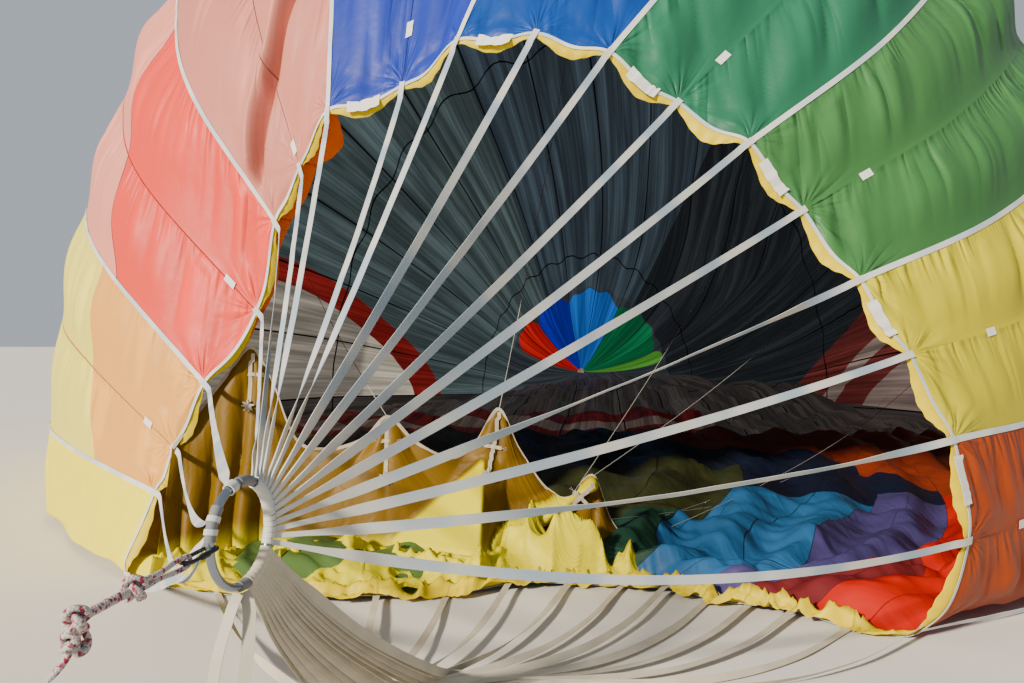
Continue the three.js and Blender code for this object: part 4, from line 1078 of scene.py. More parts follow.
yellow_band = cloth_material("yellow nylon", "#dcc400", through=0.25, wrinkle=0.4)
columns = np.arange(-7, 25.0001, 1 / 22)
at, line, (along, around, outwards), gore, share = edge_strip(columns, 9)
in_bay = np.sin(np.pi * np.mod(columns, 1))
ground_part = smoothstep(11.8, 13, columns) * (1 - smoothstep(24.2, 25.0, columns))
width = 0.038 + 0.046 * in_bay**1.5 * (0.75 + 0.5 * noise(columns * 0.9, 0.2, 53))
width = np.maximum(width, 0.035) + ground_part * 0.07 * (1 + noise(columns * 1.6, 0.7, 54))
width = width * (1 - 0.35 * smoothstep(-5, -4, columns) * (1 - smoothstep(-0.4, 0.1, columns)))
at["rim"] = share * width
curl = 0.004 * np.sin(gore * 2 * np.pi * 5.3 + 2 * noise(gore * 2.2, share, 55)) * share
curl = curl + 0.007 * noise(gore * 4.3, share * 1.5, 56) * share * in_bay
curl = (curl - 0.035 * share**2 * in_bay * (1 - ground_part)) * (1 - ground_part)
points = line - along * at["rim"][..., None] + outwards * curl[..., None]
heap = (1 - np.abs(noise(gore * 3.3, share * 1.3, 57))) ** 2 * 0.10
heap = heap + (1 - np.abs(noise(gore * 8, share * 3, 58))) ** 3 * 0.03
points[..., 2] += heap * ground_part * smoothstep(0, 0.35, share) * (1 - 0.6 * smoothstep(0.8, 1, share))
points[..., 2] = np.maximum(points[..., 2], GROUND + 0.008)
declare(strip_shell("vent_hem_cloth", at, points, outwards, yellow_band), points, "vent_hem")

# %% [markdown]
# ## Vent parachute
# In flight a round yellow panel closes the vent from inside, held to the rim by lines. Here it has collapsed. Its far
# edge still hangs from three lines, so it stands like a curtain with peaks, and the rest lies in a heap towards the
# rim. Folds run out of each peak. Below the second peak one fold is pulled towards the viewer and catches the sun.
# The edge table is the same as the solid's.

# %% Curtain and heap
PARACHUTE_EDGE = [
    (-1416, 2840, 816), (-1270, 2960, 1080), (-1120, 3000, 1290), (-960, 3040, 1480), (-820, 3060, 1230),
    (-650, 3050, 850), (-440, 3040, 790), (-200, 3040, 860), (-30, 3040, 1010), (170, 3050, 830), (400, 3060, 730),
    (560, 3070, 830), (720, 3070, 1060), (860, 3060, 790), (1050, 3030, 520), (1200, 3000, 500), (1357, 2960, 620),
    (1470, 2940, 330), (1600, 2900, 170),
]  # fmt: skip
PEAKS = [(-0.96, 0.55), (-0.03, 0.08), (0.72, 0.13), (1.357, -0.31)]
REST = 0.15  # height of the cloth on the folds of the floor
# x and y of the rim on the ground
RIM_FRONT = (
    (-1.43, -0.96, -0.43, 0.02, 0.44, 0.84, 1.22, 1.54, 1.78), (2.6, 2.38, 2.25, 2.27, 2.36, 2.47, 2.52, 2.47, 2.35)
)  # fmt: skip


def sunny_part(tree):
    return node(tree, "Attribute", output="Fac", attribute_name="sunny", attribute_type="GEOMETRY")


# painted light and shade: the standing curtain is painted a deeper amber, for the light that comes through two
# layers, and its sunny part is painted bright yellow, as painted sunlight
parachute_nylon = cloth_material(
    "parachute nylon", "#7c5c00", 0.25, through=0.35, wrinkle=0.5, prints=((sunny_part, "#e6da00"),)
)

edge_columns = 280
edge = smooth_line([(x / 1000, y / 1000, GROUND + h / 1000) for x, y, h in PARACHUTE_EDGE], edge_columns)
wall_rows = np.linspace(0, 1, 46)
apron_rows = np.linspace(0, 1, 38)[1:]
wall = edge[None].repeat(len(wall_rows), 0).copy()
wall[..., 1] -= 0.16 * wall_rows[:, None]
wall[..., 2] = edge[None, :, 2] + (GROUND + REST - edge[None, :, 2]) * wall_rows[:, None]
x, z = wall[..., 0], wall[..., 2]
towards = np.zeros_like(x)
for px, pz in PEAKS:
    away = np.hypot(x - px, z - pz)
    angle = np.arctan2(x - px, pz - z + 0.02)
    ridges = pleats(angle * 11 + 1.6 * noise(away * 3, angle * 2 + px, 61))
    weight = np.exp(-((away / 0.55) ** 2)) * smoothstep(0, 0.25, away)
    towards += 0.024 * ridges * weight
left = 1 - smoothstep(-0.95, -0.7, x)
towards += left * 0.055 * pleats(x * 2 * np.pi / 0.17 + 1.5 * noise(z * 1.5, x * 2, 62)) * wall_rows[:, None]
towards += 0.02 * noise(x * 3, z * 3, 63) * wall_rows[:, None]
# the fold that is pulled forward: its ridge runs down from its apex, with a long sunny side on the left
drop = np.clip((-0.20 - z) / 0.52, 0, 1)
sunny = np.clip((x - (0.60 - 0.62 * drop)) / (0.62 * drop + 1e-6), 0, 1)
shady = 1 - np.clip((x - 0.615) / 0.16, 0, 1)
tent = np.where(x < 0.615, sunny, shady) * drop
towards += 0.46 * tent
# a smaller one to its right
towards += 0.22 * np.clip((-0.42 - z) / 0.35, 0, 1) * np.exp(-(((x - 1.18) / 0.14) ** 2))
# a roll of cloth that was tied together runs up to the right
roll_from, roll_to = np.array([0.75, -0.71]), np.array([1.34, -0.37])
roll_way = roll_to - roll_from
along_roll = (x - roll_from[0]) * roll_way[0] + (z - roll_from[1]) * roll_way[1]
along_roll = np.clip(along_roll / (roll_way @ roll_way), 0, 1)
from_roll = np.hypot(x - roll_from[0] - along_roll * roll_way[0], z - roll_from[1] - along_roll * roll_way[1])
roll_radius = 0.075 - 0.03 * along_roll + 0.012 * np.sin(along_roll * 19)
roll = np.sqrt(np.clip(1 - (from_roll / roll_radius) ** 2, 0, 1))
towards += 0.13 * roll
wall[..., 1] -= towards
foot = wall[-1]
rim_y = np.interp(foot[:, 0], *RIM_FRONT)
level = np.full(edge_columns, GROUND + 0.05)
front = np.stack([foot[:, 0], np.minimum(rim_y - 0.02, foot[:, 1] - 0.12), level], axis=1)
apron = foot[None] + (front - foot)[None] * apron_rows[:, None, None]
ax = apron[..., 0] + 0.05 * noise(apron[..., 0] * 4, apron[..., 1] * 4, 64)
ay = apron[..., 1]
ridge = (1 - np.abs(noise(ax * 5.5, ay * 4.5, 65))) ** 3
small = (1 - np.abs(noise(ax * 12 + 0.6 * noise(ax * 5, ay * 5, 68), ay * 10, 66))) ** 3
heaped = 0.06 + 0.26 * np.exp(-(((ax - 1.08) / 0.36) ** 2)) + 0.07 * np.exp(-(((ax + 0.2) / 0.45) ** 2))
swell = smoothstep(0, 0.25, apron_rows)[:, None] * (1 - 0.75 * smoothstep(0.7, 1.0, apron_rows)[:, None])
apron[..., 2] = (GROUND + REST) * (1 - apron_rows[:, None]) + (GROUND + 0.045) * apron_rows[:, None]
creased = facets(ax * 9 + ay * 3, ay * 8 - ax * 2, 69) + 0.5 * facets(ax * 19 - ay * 5, ay * 15 + ax * 7, 70)
apron[..., 2] += swell * (heaped * ridge + 0.05 * small + 0.025 * creased)
apron[..., 0] += 0.03 * noise(ax * 7, ay * 7, 67) * swell
sheet_points = np.concatenate([wall, apron])
share = np.linspace(0, 1, len(sheet_points))[:, None].repeat(edge_columns, 1)
down = np.cumsum(np.linalg.norm(np.diff(sheet_points, axis=0, prepend=sheet_points[:1]), axis=2), axis=0)
across = np.cumsum(np.linalg.norm(np.diff(sheet_points, axis=1, prepend=sheet_points[:, :1]), axis=2), axis=1)
normal = unit(np.cross(np.gradient(sheet_points, axis=1), np.gradient(sheet_points, axis=0)))
normal = normal * np.where(normal[..., 1:2] > 0, -1, 1)
places = {"gore": across, "row": share, "width": np.ones_like(across), "rim": down, "h": across, "v": -down}
cloths = (parachute_nylon, parachute_nylon)
parachute = shell("vent_parachute_cloth", places, sheet_points, sheet_points - normal * 0.003, cloths)
# painted sunlight: the mask of the parts that are painted bright yellow
sunny = np.ones_like(across)
lit = smoothstep(0.02, 0.09, tent) * (1 - smoothstep(0.615, 0.63, x))
lit = np.maximum(lit, smoothstep(0.85, 1.0, wall_rows)[:, None])
sunny[: len(wall_rows)] = np.maximum(lit, smoothstep(0.1, 0.4, roll))
attribute = parachute.data.attributes.new("sunny", "FLOAT", "POINT")
attribute.data.foreach_set("value", np.tile(sunny.ravel(), 2))
declare(parachute, sheet_points, "vent_parachute")

# %% [markdown]
# A pale tape binds the parachute's scalloped edge. A short tape runs down from each peak, with a cross piece where a
# pulley was sewn on, and the cloth is knotted at its lower end. Thin lines lead from the edge into the envelope.

# %% Parachute tapes, knots and lines
trim_webbing = webbing("pale parachute tape", "#c9bda6", dirt=0.25)
parachute_rope = webbing("parachute line", "#b9b6ac", rib=0.002)


def on_wall(x, z, out=0.006):
    """Point of the curtain at x and z, a little in front of it."""
    column = int(np.argmin(np.abs(wall[0, :, 0] - x)))
    row = np.interp(z, wall[::-1, column, 2], np.arange(len(wall_rows))[::-1])
    k = int(min(row, len(wall_rows) - 2))
    point = wall[k, column] * (k + 1 - row) + wall[k + 1, column] * (row - k)
    return point - np.array([0, out, 0])


FACING = np.array([0.0, -1.0, 0.0])
build = Build()
edge_side = unit(np.cross(FACING, unit(np.gradient(wall[0], axis=0))))
build.ribbon(wall[0] - edge_side * 0.009 + FACING * 0.005, edge_side, FACING, 0.022, 0.0015)
# top and bottom of each tape, and the height of its cross
PEAK_TAPES = [
    ((-0.03, 0.05), (-0.035, -0.33), -0.09), ((0.725, 0.10), (0.655, -0.30), -0.13),
    ((1.345, -0.35), (1.14, -0.56), -0.44), ((-0.95, 0.50), (-0.96, 0.15), 0.36),
]  # fmt: skip
for (x0, z0), (x1, z1), cross in PEAK_TAPES:
    line = np.array([on_wall(x0 + (x1 - x0) * t, z0 + (z1 - z0) * t, 0.010) for t in np.linspace(0, 1, 24)])
    way = unit(np.gradient(line, axis=0))
    side = unit(np.cross(way, FACING))
    build.ribbon(line, side, unit(np.cross(side, way)), 0.026, 0.002)
    middle = on_wall(x0 + (x1 - x0) * (cross - z0) / (z1 - z0), cross, 0.014)
    bar_way = unit(line[-1] - line[0])
    arm = unit(np.cross(bar_way, FACING))
    wave = 0.004 * np.sin(np.arange(10) * 2.0)[:, None]
    arms = middle + np.linspace(-0.062, 0.062, 10)[:, None] * arm + wave * FACING
    build.ribbon(arms, bar_way, FACING, 0.024, 0.002)
    for number in range(5):
        fray = arms[-1 if number % 2 else 0]
        away = arm * (1 if number % 2 else -1) + 0.2 * (number - 2) * bar_way
        build.tube(fray + np.linspace(0, 0.035, 5)[:, None] * unit(away), 0.0012, sides=5)
    for number in range(7):
        turn = number * 2.4
        reach = math.cos(turn) * arm + math.sin(turn) * bar_way + 0.5 * FACING
        lobe = line[-1] + np.linspace(0.0, 0.05, 7)[:, None] * unit(reach) + FACING * 0.004
        build.tube(lobe, 0.009 * np.sin(np.linspace(0.4, 3.0, 7)) + 0.001, sides=8)
build.make("parachute_tapes", (trim_webbing,))
build = Build()
# each line runs from the edge of the parachute to the wall of the envelope
LINES = [
    ((-0.03, 0.08), -3, 5.0), ((0.72, 0.13), 2, 5.4), ((1.36, -0.30), 8, 5.0), ((1.52, -0.66), 10.8, 5.4),
    ((1.58, -0.74), 10.2, 4.9), ((1.20, -0.43), 6, 5.6), ((-0.96, 0.55), -5, 5.2), ((1.47, -0.58), 11.5, 5.0),
]  # fmt: skip
for (x0, z0), gore, row in LINES:
    start = on_wall(x0, z0 - 0.01, 0.0)
    end = skin(np.array([float(gore)]), np.array([row]))[0]
    ways = np.linspace(0, 1, 30)[:, None]
    line = start + (end - start) * ways
    line[:, 2:] -= 0.25 * 4 * ways * (1 - ways)
    line[:, 2] = np.maximum(line[:, 2], GROUND + 0.12)
    build.tube(line, 0.003, sides=6)
build.make("parachute_lines", (parachute_rope,))

# %% [markdown]
# An orange flap hangs inside the rim on the left, from the top corner down. Blank white patches are sewn over the rim
# in the middle of every second bay, and a small white tag marks the middle seam of each panel.

# %% Flap, patches and tags
orange_flap = cloth_material("orange nylon", "#ff8000", through=0.5, wrinkle=0.5)
# Gore and width of the flap in metres
FLAP = (
    (-4.3, -4.0, -3.4, -2.8, -2.3, -2.0, -1.6, -1.25, -1.0, -0.8, -0.5, -0.2, 0.0),
    (0.01, 0.04, 0.06, 0.07, 0.08, 0.11, 0.13, 0.11, 0.12, 0.18, 0.20, 0.13, 0.05),
)
columns = np.linspace(-4.3, 0.0, 110)
at, line, (along, around, outwards), gore, share = edge_strip(columns, 12)
way = unit(np.array([0.88, 0.45, -0.12]))
at["rim"] = np.interp(columns, *FLAP) * share
waves = 0.014 * np.sin(gore * 9 + 2 * noise(gore * 2, share, 81)) + 0.01 * noise(gore * 5, share * 2, 82)
points = line + along * 0.03 - outwards * 0.012 + way * at["rim"][..., None]
points = points + np.array([0.3, 0.9, 0.1]) * (waves * share)[..., None]
at["points"] = points
half = [0, 0.0015, 0]
declare(shell("orange_flap", at, points - half, points + half, (orange_flap, orange_flap)), points)

label_cloth = webbing("white label cloth", "#e9e8e4", rib=0.0012, dirt=0.04)
build = Build()
for gore in (0.5, 2.5, 4.5, 6.45, 8.45, 10.35):
    across = np.linspace(-0.10, 0.10, 17)
    bay = np.linalg.norm(skin(np.array([gore + 0.5]), np.zeros(1)) - skin(np.array([gore - 0.5]), np.zeros(1)))
    gores = gore + across / bay
    along, around, outwards = skin_frame(gores, np.zeros_like(gores))
    creased = 0.005 * noise(across * 55, gore, 83)[:, None]
    centre = skin(gores, np.zeros_like(gores)) - along * 0.020 + outwards * (0.016 + creased)
    side = unit(along + outwards * 0.22 * noise(across * 40, gore + 3, 84)[:, None])
    build.ribbon(centre, side, unit(np.cross(around, side)), 0.075, 0.0012)
TAGS = ((1, 0.25), (3, 0.27), (5, 0.3), (7, 0.4), (9, 0.63), (11, 0.5), (-1, 0.1), (-3, 0.2), (-5, 0.25))
for gore, row in TAGS:
    rows = row + np.linspace(-0.035, 0.035, 7)
    gores = np.full(7, float(gore))
    along, around, outwards = skin_frame(gores, rows)
    centre = skin(gores, rows) + outwards * (0.0125 + 0.001 * noise(rows * 90, gore, 85))[:, None]
    build.ribbon(centre, around, outwards, 0.045, 0.0012)
build.make("patches_and_tags", (label_cloth,))

# %% [markdown]
# ## Crown ring, load tapes and crown line
# Thirty-two load tapes gather in a welded steel ring. Each one is folded narrow, goes round the ring's tube and is
# sewn back on itself, so the loops sit side by side. Those over the vent are pulled tight. Those to the rim's lower
# part hang down from the ring and lie in curves on the ground. The routes are the solids' routes.

# %% Routes of the load tapes
RING_RADIUS = 0.157
RING_TUBE = 0.013
HEM_WIDTH = 0.070  # of the vent's hem and of the mouth's
RING_AWAY = unit(np.array([0.243, 0.97, 0.0]))
RING_NORMAL = np.cross(RING_AWAY, UP)


def ring_point(degrees, radius=RING_RADIUS):
    angle = math.radians(degrees)
    return radius * (math.cos(angle) * RING_AWAY + math.sin(angle) * UP)


def seam_end(gore, row):
    """Point of one seam at a row, with the directions there."""
    at = np.array([float(gore)]), np.array([float(row)])
    return skin(*at)[0], *(v[0] for v in skin_frame(*at))


def hem_edge(gore):
    edge, along, around, outwards = seam_end(gore, 0)
    return edge - along * (HEM_WIDTH + 0.002) + outwards * 0.005, along, around, outwards


def sleeve_point(degrees, target):
    centre = ring_point(degrees)
    tangent = unit(np.cross(RING_NORMAL, centre))
    return centre + dropped(target - centre, tangent) * (RING_TUBE + 0.003), tangent


# Gore, place on the ring in degrees and sag in millimetres
HANGING = [
    (-3, 62, 90), (-2, 57, 70), (-1, 52, 60), (0, 47, 40), (1, 42, 60), (2, 37, 30), (3, 31, 25), (4, 25, 20),
    (5, 19, 20), (6, 13, 20), (7, 6, 20), (8, -1, 25), (9, -8, 40), (10, -15, 60), (11, -22, 150),
    (-4, 108, 60), (-5, 113, 250), (-6, 153, 330), (-7, 166, 120),
]  # fmt: skip
LYING = list(range(12, 25))


def hanging_route(gore, degrees, sag):
    end, along, around, outwards = hem_edge(gore)
    start, tangent = sleeve_point(degrees, end)
    s = np.linspace(0, 1, 60)[:, None]
    line = start + (end - start) * s
    line[:, 2:] -= 4 * sag / 1000 * s * (1 - s)
    # the last stretch runs on over the yellow band to the rim
    line[-1] = end + outwards * 0.009
    return np.concatenate([line, [end + along * 0.09 + outwards * 0.008]]), tangent, around


def lying_route(gore):
    order = gore - LYING[0]
    share = order / (len(LYING) - 1)
    end, along, around, outwards = hem_edge(gore)
    landing = np.array([620 - 560 * share, 1180 - 420 * share, GROUND * 1000 + 14 + 5 * order]) / 1000
    degrees = -31 - 46 * share
    start, tangent = sleeve_point(degrees, landing)
    line = [start]
    for s in (0.14, 0.4, 0.75):
        line.append(start + (landing - start) * s - UP * (0.380 - 0.240 * share) * s * (1 - s))
    for s in (0, 0.25, 0.5, 0.75):
        point = landing + (end - landing) * s
        point[0] += 0.150 * (1 - share) * math.sin(math.pi * s)
        point[1] -= (0.330 - 0.160 * share) * math.sin(math.pi * s)
        point[2] = landing[2] + (end[2] - landing[2]) * s * s
        line.append(point)
    line = smooth_line(line + [end, end + along * 0.08 + UP * 0.03], 90)
    line[:, 2] = np.maximum(line[:, 2], GROUND + 0.004)
    return line, tangent, around, degrees


TAPE_WIDTH = 0.038


def lay_tape(build, line, tangent, around, seed, slack=0.0, edge_on=0.0, level=0.0):
    """One load tape: a loop round the ring, folded narrow, then opening out and ending flat on the rim."""
    away = lengths(line)
    share = (away / away[-1])[:, None]
    direction = unit(np.gradient(line, axis=0))
    around = around * (1 if around @ tangent > 0 else -1)
    side = tangent * (1 - share) + around * share
    side = side + slack * np.sin(away * 2.1 + seed)[:, None] * np.sin(np.pi * share) * np.cross(direction, side)
    if level:
        # twisted so that its width lies level
        flat = unit(np.cross(direction, [0.25, 1.0, -0.2]))
        flat = flat * np.sign((flat * side).sum(1, keepdims=True))
        weight = level * smoothstep(0.04, 0.25, share) * (1 - smoothstep(0.88, 1.0, share))
        side = unit(side) * (1 - weight) + flat * weight
    if edge_on:
        turn = edge_on * smoothstep(0.15, 0.4, share) * (1 - smoothstep(0.75, 0.97, share))
        side = side * np.cos(turn) + np.cross(direction, side) * np.sin(turn)
    side = dropped(side, direction)
    normal = unit(np.cross(side, direction))
    width = 0.017 + (TAPE_WIDTH - 0.017) * smoothstep(0.10, 0.32, away)
    thickness = 0.006 - 0.0035 * smoothstep(0.08, 0.25, away)
    ripple = 0.002 * noise(away * 5, seed, 71)[:, None] * np.sin(np.pi * share)
    build.ribbon(line + normal * ripple, side, normal, width, thickness)


def ring_loop(build, degrees, width=0.0165, turn=0.0):
    """A tape's loop round the tube of the ring."""
    centre = ring_point(degrees)
    out = unit(centre)
    circle = centre + (RING_TUBE + 0.0042) * spokes(np.linspace(0, 2 * np.pi, 25), out, RING_NORMAL)
    tilted = unit(np.cross(RING_NORMAL, out) + turn * RING_NORMAL)
    build.ribbon(circle, tilted, unit(circle - centre), width, 0.0042)


load_webbing = webbing("load tape webbing", "#dcdbd4", dirt=0.16, painted_sky="#9aabb8")
dusty_webbing = webbing("dusty load tape webbing", "#d9cfb8", dirt=0.2)
SIDE_TAPES = {-4: "top_left", -5: "top_left", -6: "low_left", -7: "low_left"}
TWISTED = (8, 10)  # half a turn
LEVEL = (-3, -1, 0, 1, 2)
groups = {name: Build() for name in ("front", "ground", "top_left", "low_left")}
for gore, degrees, sag in HANGING:
    build = groups[SIDE_TAPES.get(gore, "front")]
    edge_on, level = 1.25 if gore in TWISTED else 0.0, 0.75 if gore in LEVEL else 0.0
    lay_tape(build, *hanging_route(gore, degrees, sag), gore * 1.3, 0.5 if sag > 100 else 0.12, edge_on, level)
    ring_loop(build, degrees, turn=0.15 * math.sin(gore * 2.2))
for gore in LYING:
    *route, degrees = lying_route(gore)
    lay_tape(groups["ground"], *route, gore * 1.7, slack=0.5)
    ring_loop(groups["ground"], degrees, width=0.012, turn=0.2 * math.sin(gore * 3.1))
for name, build in groups.items():
    finish = dusty_webbing if name == "ground" else load_webbing
    build.make(f"load_webbing_{name}", (finish,), replaces=f"load_tapes_{name}")

# %% [markdown]
# The ring is a bent and welded tube. Stainless steel with fine scratches that run along it, and grey sleeves of
# shrunk fabric at the ends of the tape loops.

# %% Ring and sleeves
def steel(name, colour, roughness=0.28, scratches=60.0):
    material, tree, shader = new_material(name, Metallic=1.0)
    fine = clouds(object_place(tree), scratches, 6.0, 0.7)
    rough = rescaled(fine, roughness - 0.08, roughness + 0.14)
    tone = mixed(fine, *two_tones(colour, 0.12))
    feed(shader, {"Base Color": tone, "Roughness": rough, "Normal": bump(fine, 0.25, 0.0003)})
    return material


ring_steel = steel("brushed stainless steel", "#8f99a3")
build = Build()
build.ring(np.zeros(3), RING_RADIUS, RING_TUBE, RING_AWAY, UP, steps=96, sides=24)
build.make("crown_ring_steel", (ring_steel,), replaces="crown_ring")
sleeve_fabric = webbing("grey shrunk sleeve", "#7d7f80", rib=0.002)
build = Build()
for low, high in ((70, 97), (-96, -80), (140, 178)):
    angles = np.arange(low, high + 0.1, 3)
    swell = RING_TUBE + 0.0035 + 0.0015 * noise(angles * 0.2, 0.3, 72)
    build.tube([ring_point(a) for a in angles], swell, sides=20)
build.make("ring_sleeves", (sleeve_fabric,))

# %% [markdown]
# ## Crown line
# A steel karabiner joins the ring to the line that the crew pulls on. The line is a braided polyester rope of 15 mm,
# white with red tracer strands. It is doubled as far as its first knot, and two more knots follow. The crew's end
# leads away and isn't part of the balloon, so the line ends in its last knot with a short tail.

# %% Karabiner, rope and knots
def rope_material(name, colour, tracer, size=0.015):
    """Braid of this thickness in metres, with tracer strands of another colour."""
    material, tree, shader = new_material(name, Roughness=0.8, Specular_IOR_Level=0.25)
    scale = (1 / (size * 3.1416), 1 / (size * 2.2), 1)
    place = node(tree, "Mapping", {"Vector": uv(tree, "metres"), "Scale": scale})
    x, y = parts(place)
    one, other = ((way * 4.0).math("FRACT").math("PINGPONG", 0.5) for way in (x + y, x - y))
    height = one * other * 4.0
    flecks = ramp(clouds(place, 2.6, 1.0, 0.4), 0.52, 0.6, 0.0, 1.0, "LINEAR")
    tone = mixed(flecks, linear(colour), linear(tracer))
    # painted shade in the hollows of the braid
    tone = mixed(1.0, tone, rescaled(height, 0.55, 1.0), "MULTIPLY")
    feed(shader, {"Base Color": tone, "Normal": bump(height, 0.8, 0.0015)})
    return material


LINE_DEGREES = 183
LINE_PULL = unit(np.array([-0.2, -0.97, -0.05]))
LINK_LENGTH = 0.105
LINK_HALF = 0.019
WIRE = 0.006
seat = ring_point(LINE_DEGREES)
link_tangent = unit(np.cross(RING_NORMAL, ring_point(LINE_DEGREES, 1)))
link_across = unit(np.cross(LINE_PULL, link_tangent))
link_centre = seat + LINE_PULL * (LINK_LENGTH / 2 + LINK_HALF - RING_TUBE - WIRE - 0.0008)
dark_steel = steel("dark oxidised steel", "#3c3f44", roughness=0.42, scratches=90.0)

# a loop with a waist on its gate side, a sleeve nut and a hinge pin
turn = np.linspace(0, 2 * np.pi, 73)
along_link = np.sign(np.cos(turn)) * LINK_LENGTH / 2 + LINK_HALF * np.cos(turn)
along_link = np.where(np.abs(np.cos(turn)) < 1e-9, 0, along_link)
loop = link_centre + along_link[:, None] * LINE_PULL + (LINK_HALF * np.sin(turn))[:, None] * link_across
build = Build()
build.tube(loop, WIRE, sides=14)
gate = [link_centre + link_across * LINK_HALF + LINE_PULL * t for t in np.linspace(-0.02, 0.022, 12)]
build.tube(gate, 0.0092 - 0.0015 * np.abs(np.linspace(-1, 1, 12)) ** 6, sides=18)
build.make("crown_karabiner_steel", (dark_steel,), replaces="crown_karabiner")

rope_white = rope_material("white polyester rope with red tracers", "#cfc8c4", "#a8324c")
link_end = link_centre + LINE_PULL * (LINK_LENGTH / 2 + LINK_HALF)
knot_near = seat + LINE_PULL * 0.320
knot_far = seat + LINE_PULL * 0.510
knot_low = knot_far + np.array([-0.008, 0.010, -0.052])
tail_end = knot_low + np.array([-0.045, -0.028, -0.075])
rope_side = unit(np.cross(LINE_PULL, UP))
rope_up = np.cross(rope_side, LINE_PULL)


def overhand(centre, axis, side, size):
    """Points of a tight knot: a trefoil round its own line."""
    t = np.linspace(0, 2 * np.pi, 90)
    out = spokes(t, side, np.cross(axis, side)) * (size * (0.55 + 0.28 * np.cos(1.5 * t)))[:, None]
    return centre + out + (size * 0.546 * np.sin(1.5 * t))[:, None] * axis


build = Build()
bight = link_end - LINE_PULL * (WIRE + 0.0085)
half_turn = np.linspace(-np.pi / 2, np.pi / 2, 13)
for side in (1, -1):
    ways = np.linspace(0, 1, 24)[:, None]
    spread = (0.0135 * (1 - 0.55 * ways)) * side
    strand = bight + (knot_near - bight) * ways + rope_up * spread + rope_side * 0.004 * np.sin(ways * 9) * side
    build.tube(strand, 0.0075, sides=12)
build.tube(bight + 0.0135 * spokes(half_turn, -LINE_PULL, rope_up), 0.0075)
knots = ((knot_near, 0.034, LINE_PULL), (knot_far, 0.032, LINE_PULL), (knot_low, 0.034, unit(tail_end - knot_far)))
for centre, size, axis in knots:
    for shift in (0.0, 1.9, 3.7):
        side = unit(np.cross(axis, [math.cos(shift), 0.3, math.sin(shift)]))
        build.tube(overhand(centre, axis, side, size * (1 - 0.08 * shift / 3.7)), 0.0082, sides=10)
ways = np.linspace(0, 1, 26)[:, None]
build.tube(knot_near + (knot_far - knot_near) * ways, 0.0112 + 0.0006 * np.sin(ways[:, 0] * 40), sides=14)
build.tube(smooth_line([knot_far, (knot_far + knot_low) / 2 + [0.004, -0.006, 0], knot_low], 10), 0.010, sides=12)
tail = smooth_line([knot_low, knot_low + (tail_end - knot_low) * 0.5 + [0.004, 0, -0.004], tail_end], 16)
build.tube(tail, 0.0078 - 0.002 * smoothstep(0.85, 1.0, np.linspace(0, 1, 16)), sides=12)
build.make("crown_line_rope", (rope_white,), replaces="crown_line")

# %% [markdown]
# Two flat tapes are tied to the bottom of the ring and hang down with bare ends. They hang free: 38 mm wide,
# just under a metre long, limp, and their ends lie on the ground.

# %% Hanging tails
tail_webbing = webbing("tail webbing", "#cbc3b0", dirt=0.2)
ring_foot = ring_point(-96)
TAILS = [
    [(0, 0, 0), (-0.01, -0.045, -0.05), (-0.04, -0.085, -0.20), (-0.055, -0.10, -0.42), (-0.055, -0.10, -0.62),
     (-0.065, -0.13, -0.755), (-0.11, -0.19, -0.768), (-0.17, -0.23, -0.7685)],
    [(0.012, 0.01, 0), (0.035, -0.01, -0.05), (0.04, -0.05, -0.19), (0.02, -0.10, -0.40), (-0.005, -0.13, -0.60),
     (-0.012, -0.16, -0.75), (0.02, -0.22, -0.768), (0.07, -0.27, -0.7685)],
]  # fmt: skip
for number, offsets in enumerate(TAILS):
    line = ring_foot - UP * 0.018 + smooth_line(offsets, 60)
    line[:, 2] = np.maximum(line[:, 2], GROUND + 0.0025)
    direction = unit(np.gradient(line, axis=0))
    side = dropped(unit(np.array([1.0, -0.35 + 0.5 * number, 0.0])), direction)
    build = Build()
    build.ribbon(line, side, np.cross(side, direction), TAPE_WIDTH, 0.002)
    made = build.make(f"hanging_tail_{number + 1}", (tail_webbing,))
    [tuple(p) for p in line[::3]] + [tuple(line[-1])]  # fmt: skip

# %% [markdown]
# ## Mouth hem and flying cables
# The envelope ends in a strip of heat-proof red cloth. Sixteen stranded steel cables of 12 mm run from it to the load
# frame, four to each corner, where their ends are pressed into ferrules and pinned in a block.

# %% Hem and cables
BASKET_X, BASKET_Z = 2.850, -0.255
FRAME_Y = 25.600
BASKET_TOP, BASKET_BOTTOM = 26.700, 27.800
FRAME_HALF_X, FRAME_HALF_Z, FRAME_BAR = 0.620, 0.520, 0.040

heat_cloth = cloth_material("heat-proof red cloth", "#a82a22", through=0.05, wrinkle=0.5)
at, line, (along, around, outwards), gore, share = edge_strip(np.arange(0, 32.0001, 1 / 10), 7, MOUTH)
at["rim"] = share * HEM_WIDTH
waves = 0.006 * np.sin(gore * np.pi * 2) * np.sin(gore * 2.3) * share
points = line + along * at["rim"][..., None] + outwards * waves[..., None]
hem = strip_shell("mouth_hem_cloth", at, points, outwards, heat_cloth)
declare(hem, points, "mouth_hem")

cable_steel = rope_material("stranded steel cable", "#8d9196", "#7c8085", size=0.012)
block_steel = steel("galvanised steel", "#9a9d9f", roughness=0.45, scratches=35.0)


def rounded(half_x, half_y, radius, steps=4):
    """Outline of a rounded rectangle, counter-clockwise."""
    sides = []
    for sx, sy, turn in ((1, 1, 0), (-1, 1, 90), (-1, -1, 180), (1, -1, 270)):
        angles = np.radians(turn + np.linspace(0, 90, steps + 1))
        x = sx * (half_x - radius) + radius * np.cos(angles)
        sides.append(np.stack([x, sy * (half_y - radius) + radius * np.sin(angles)], axis=1))
    return np.concatenate(sides)


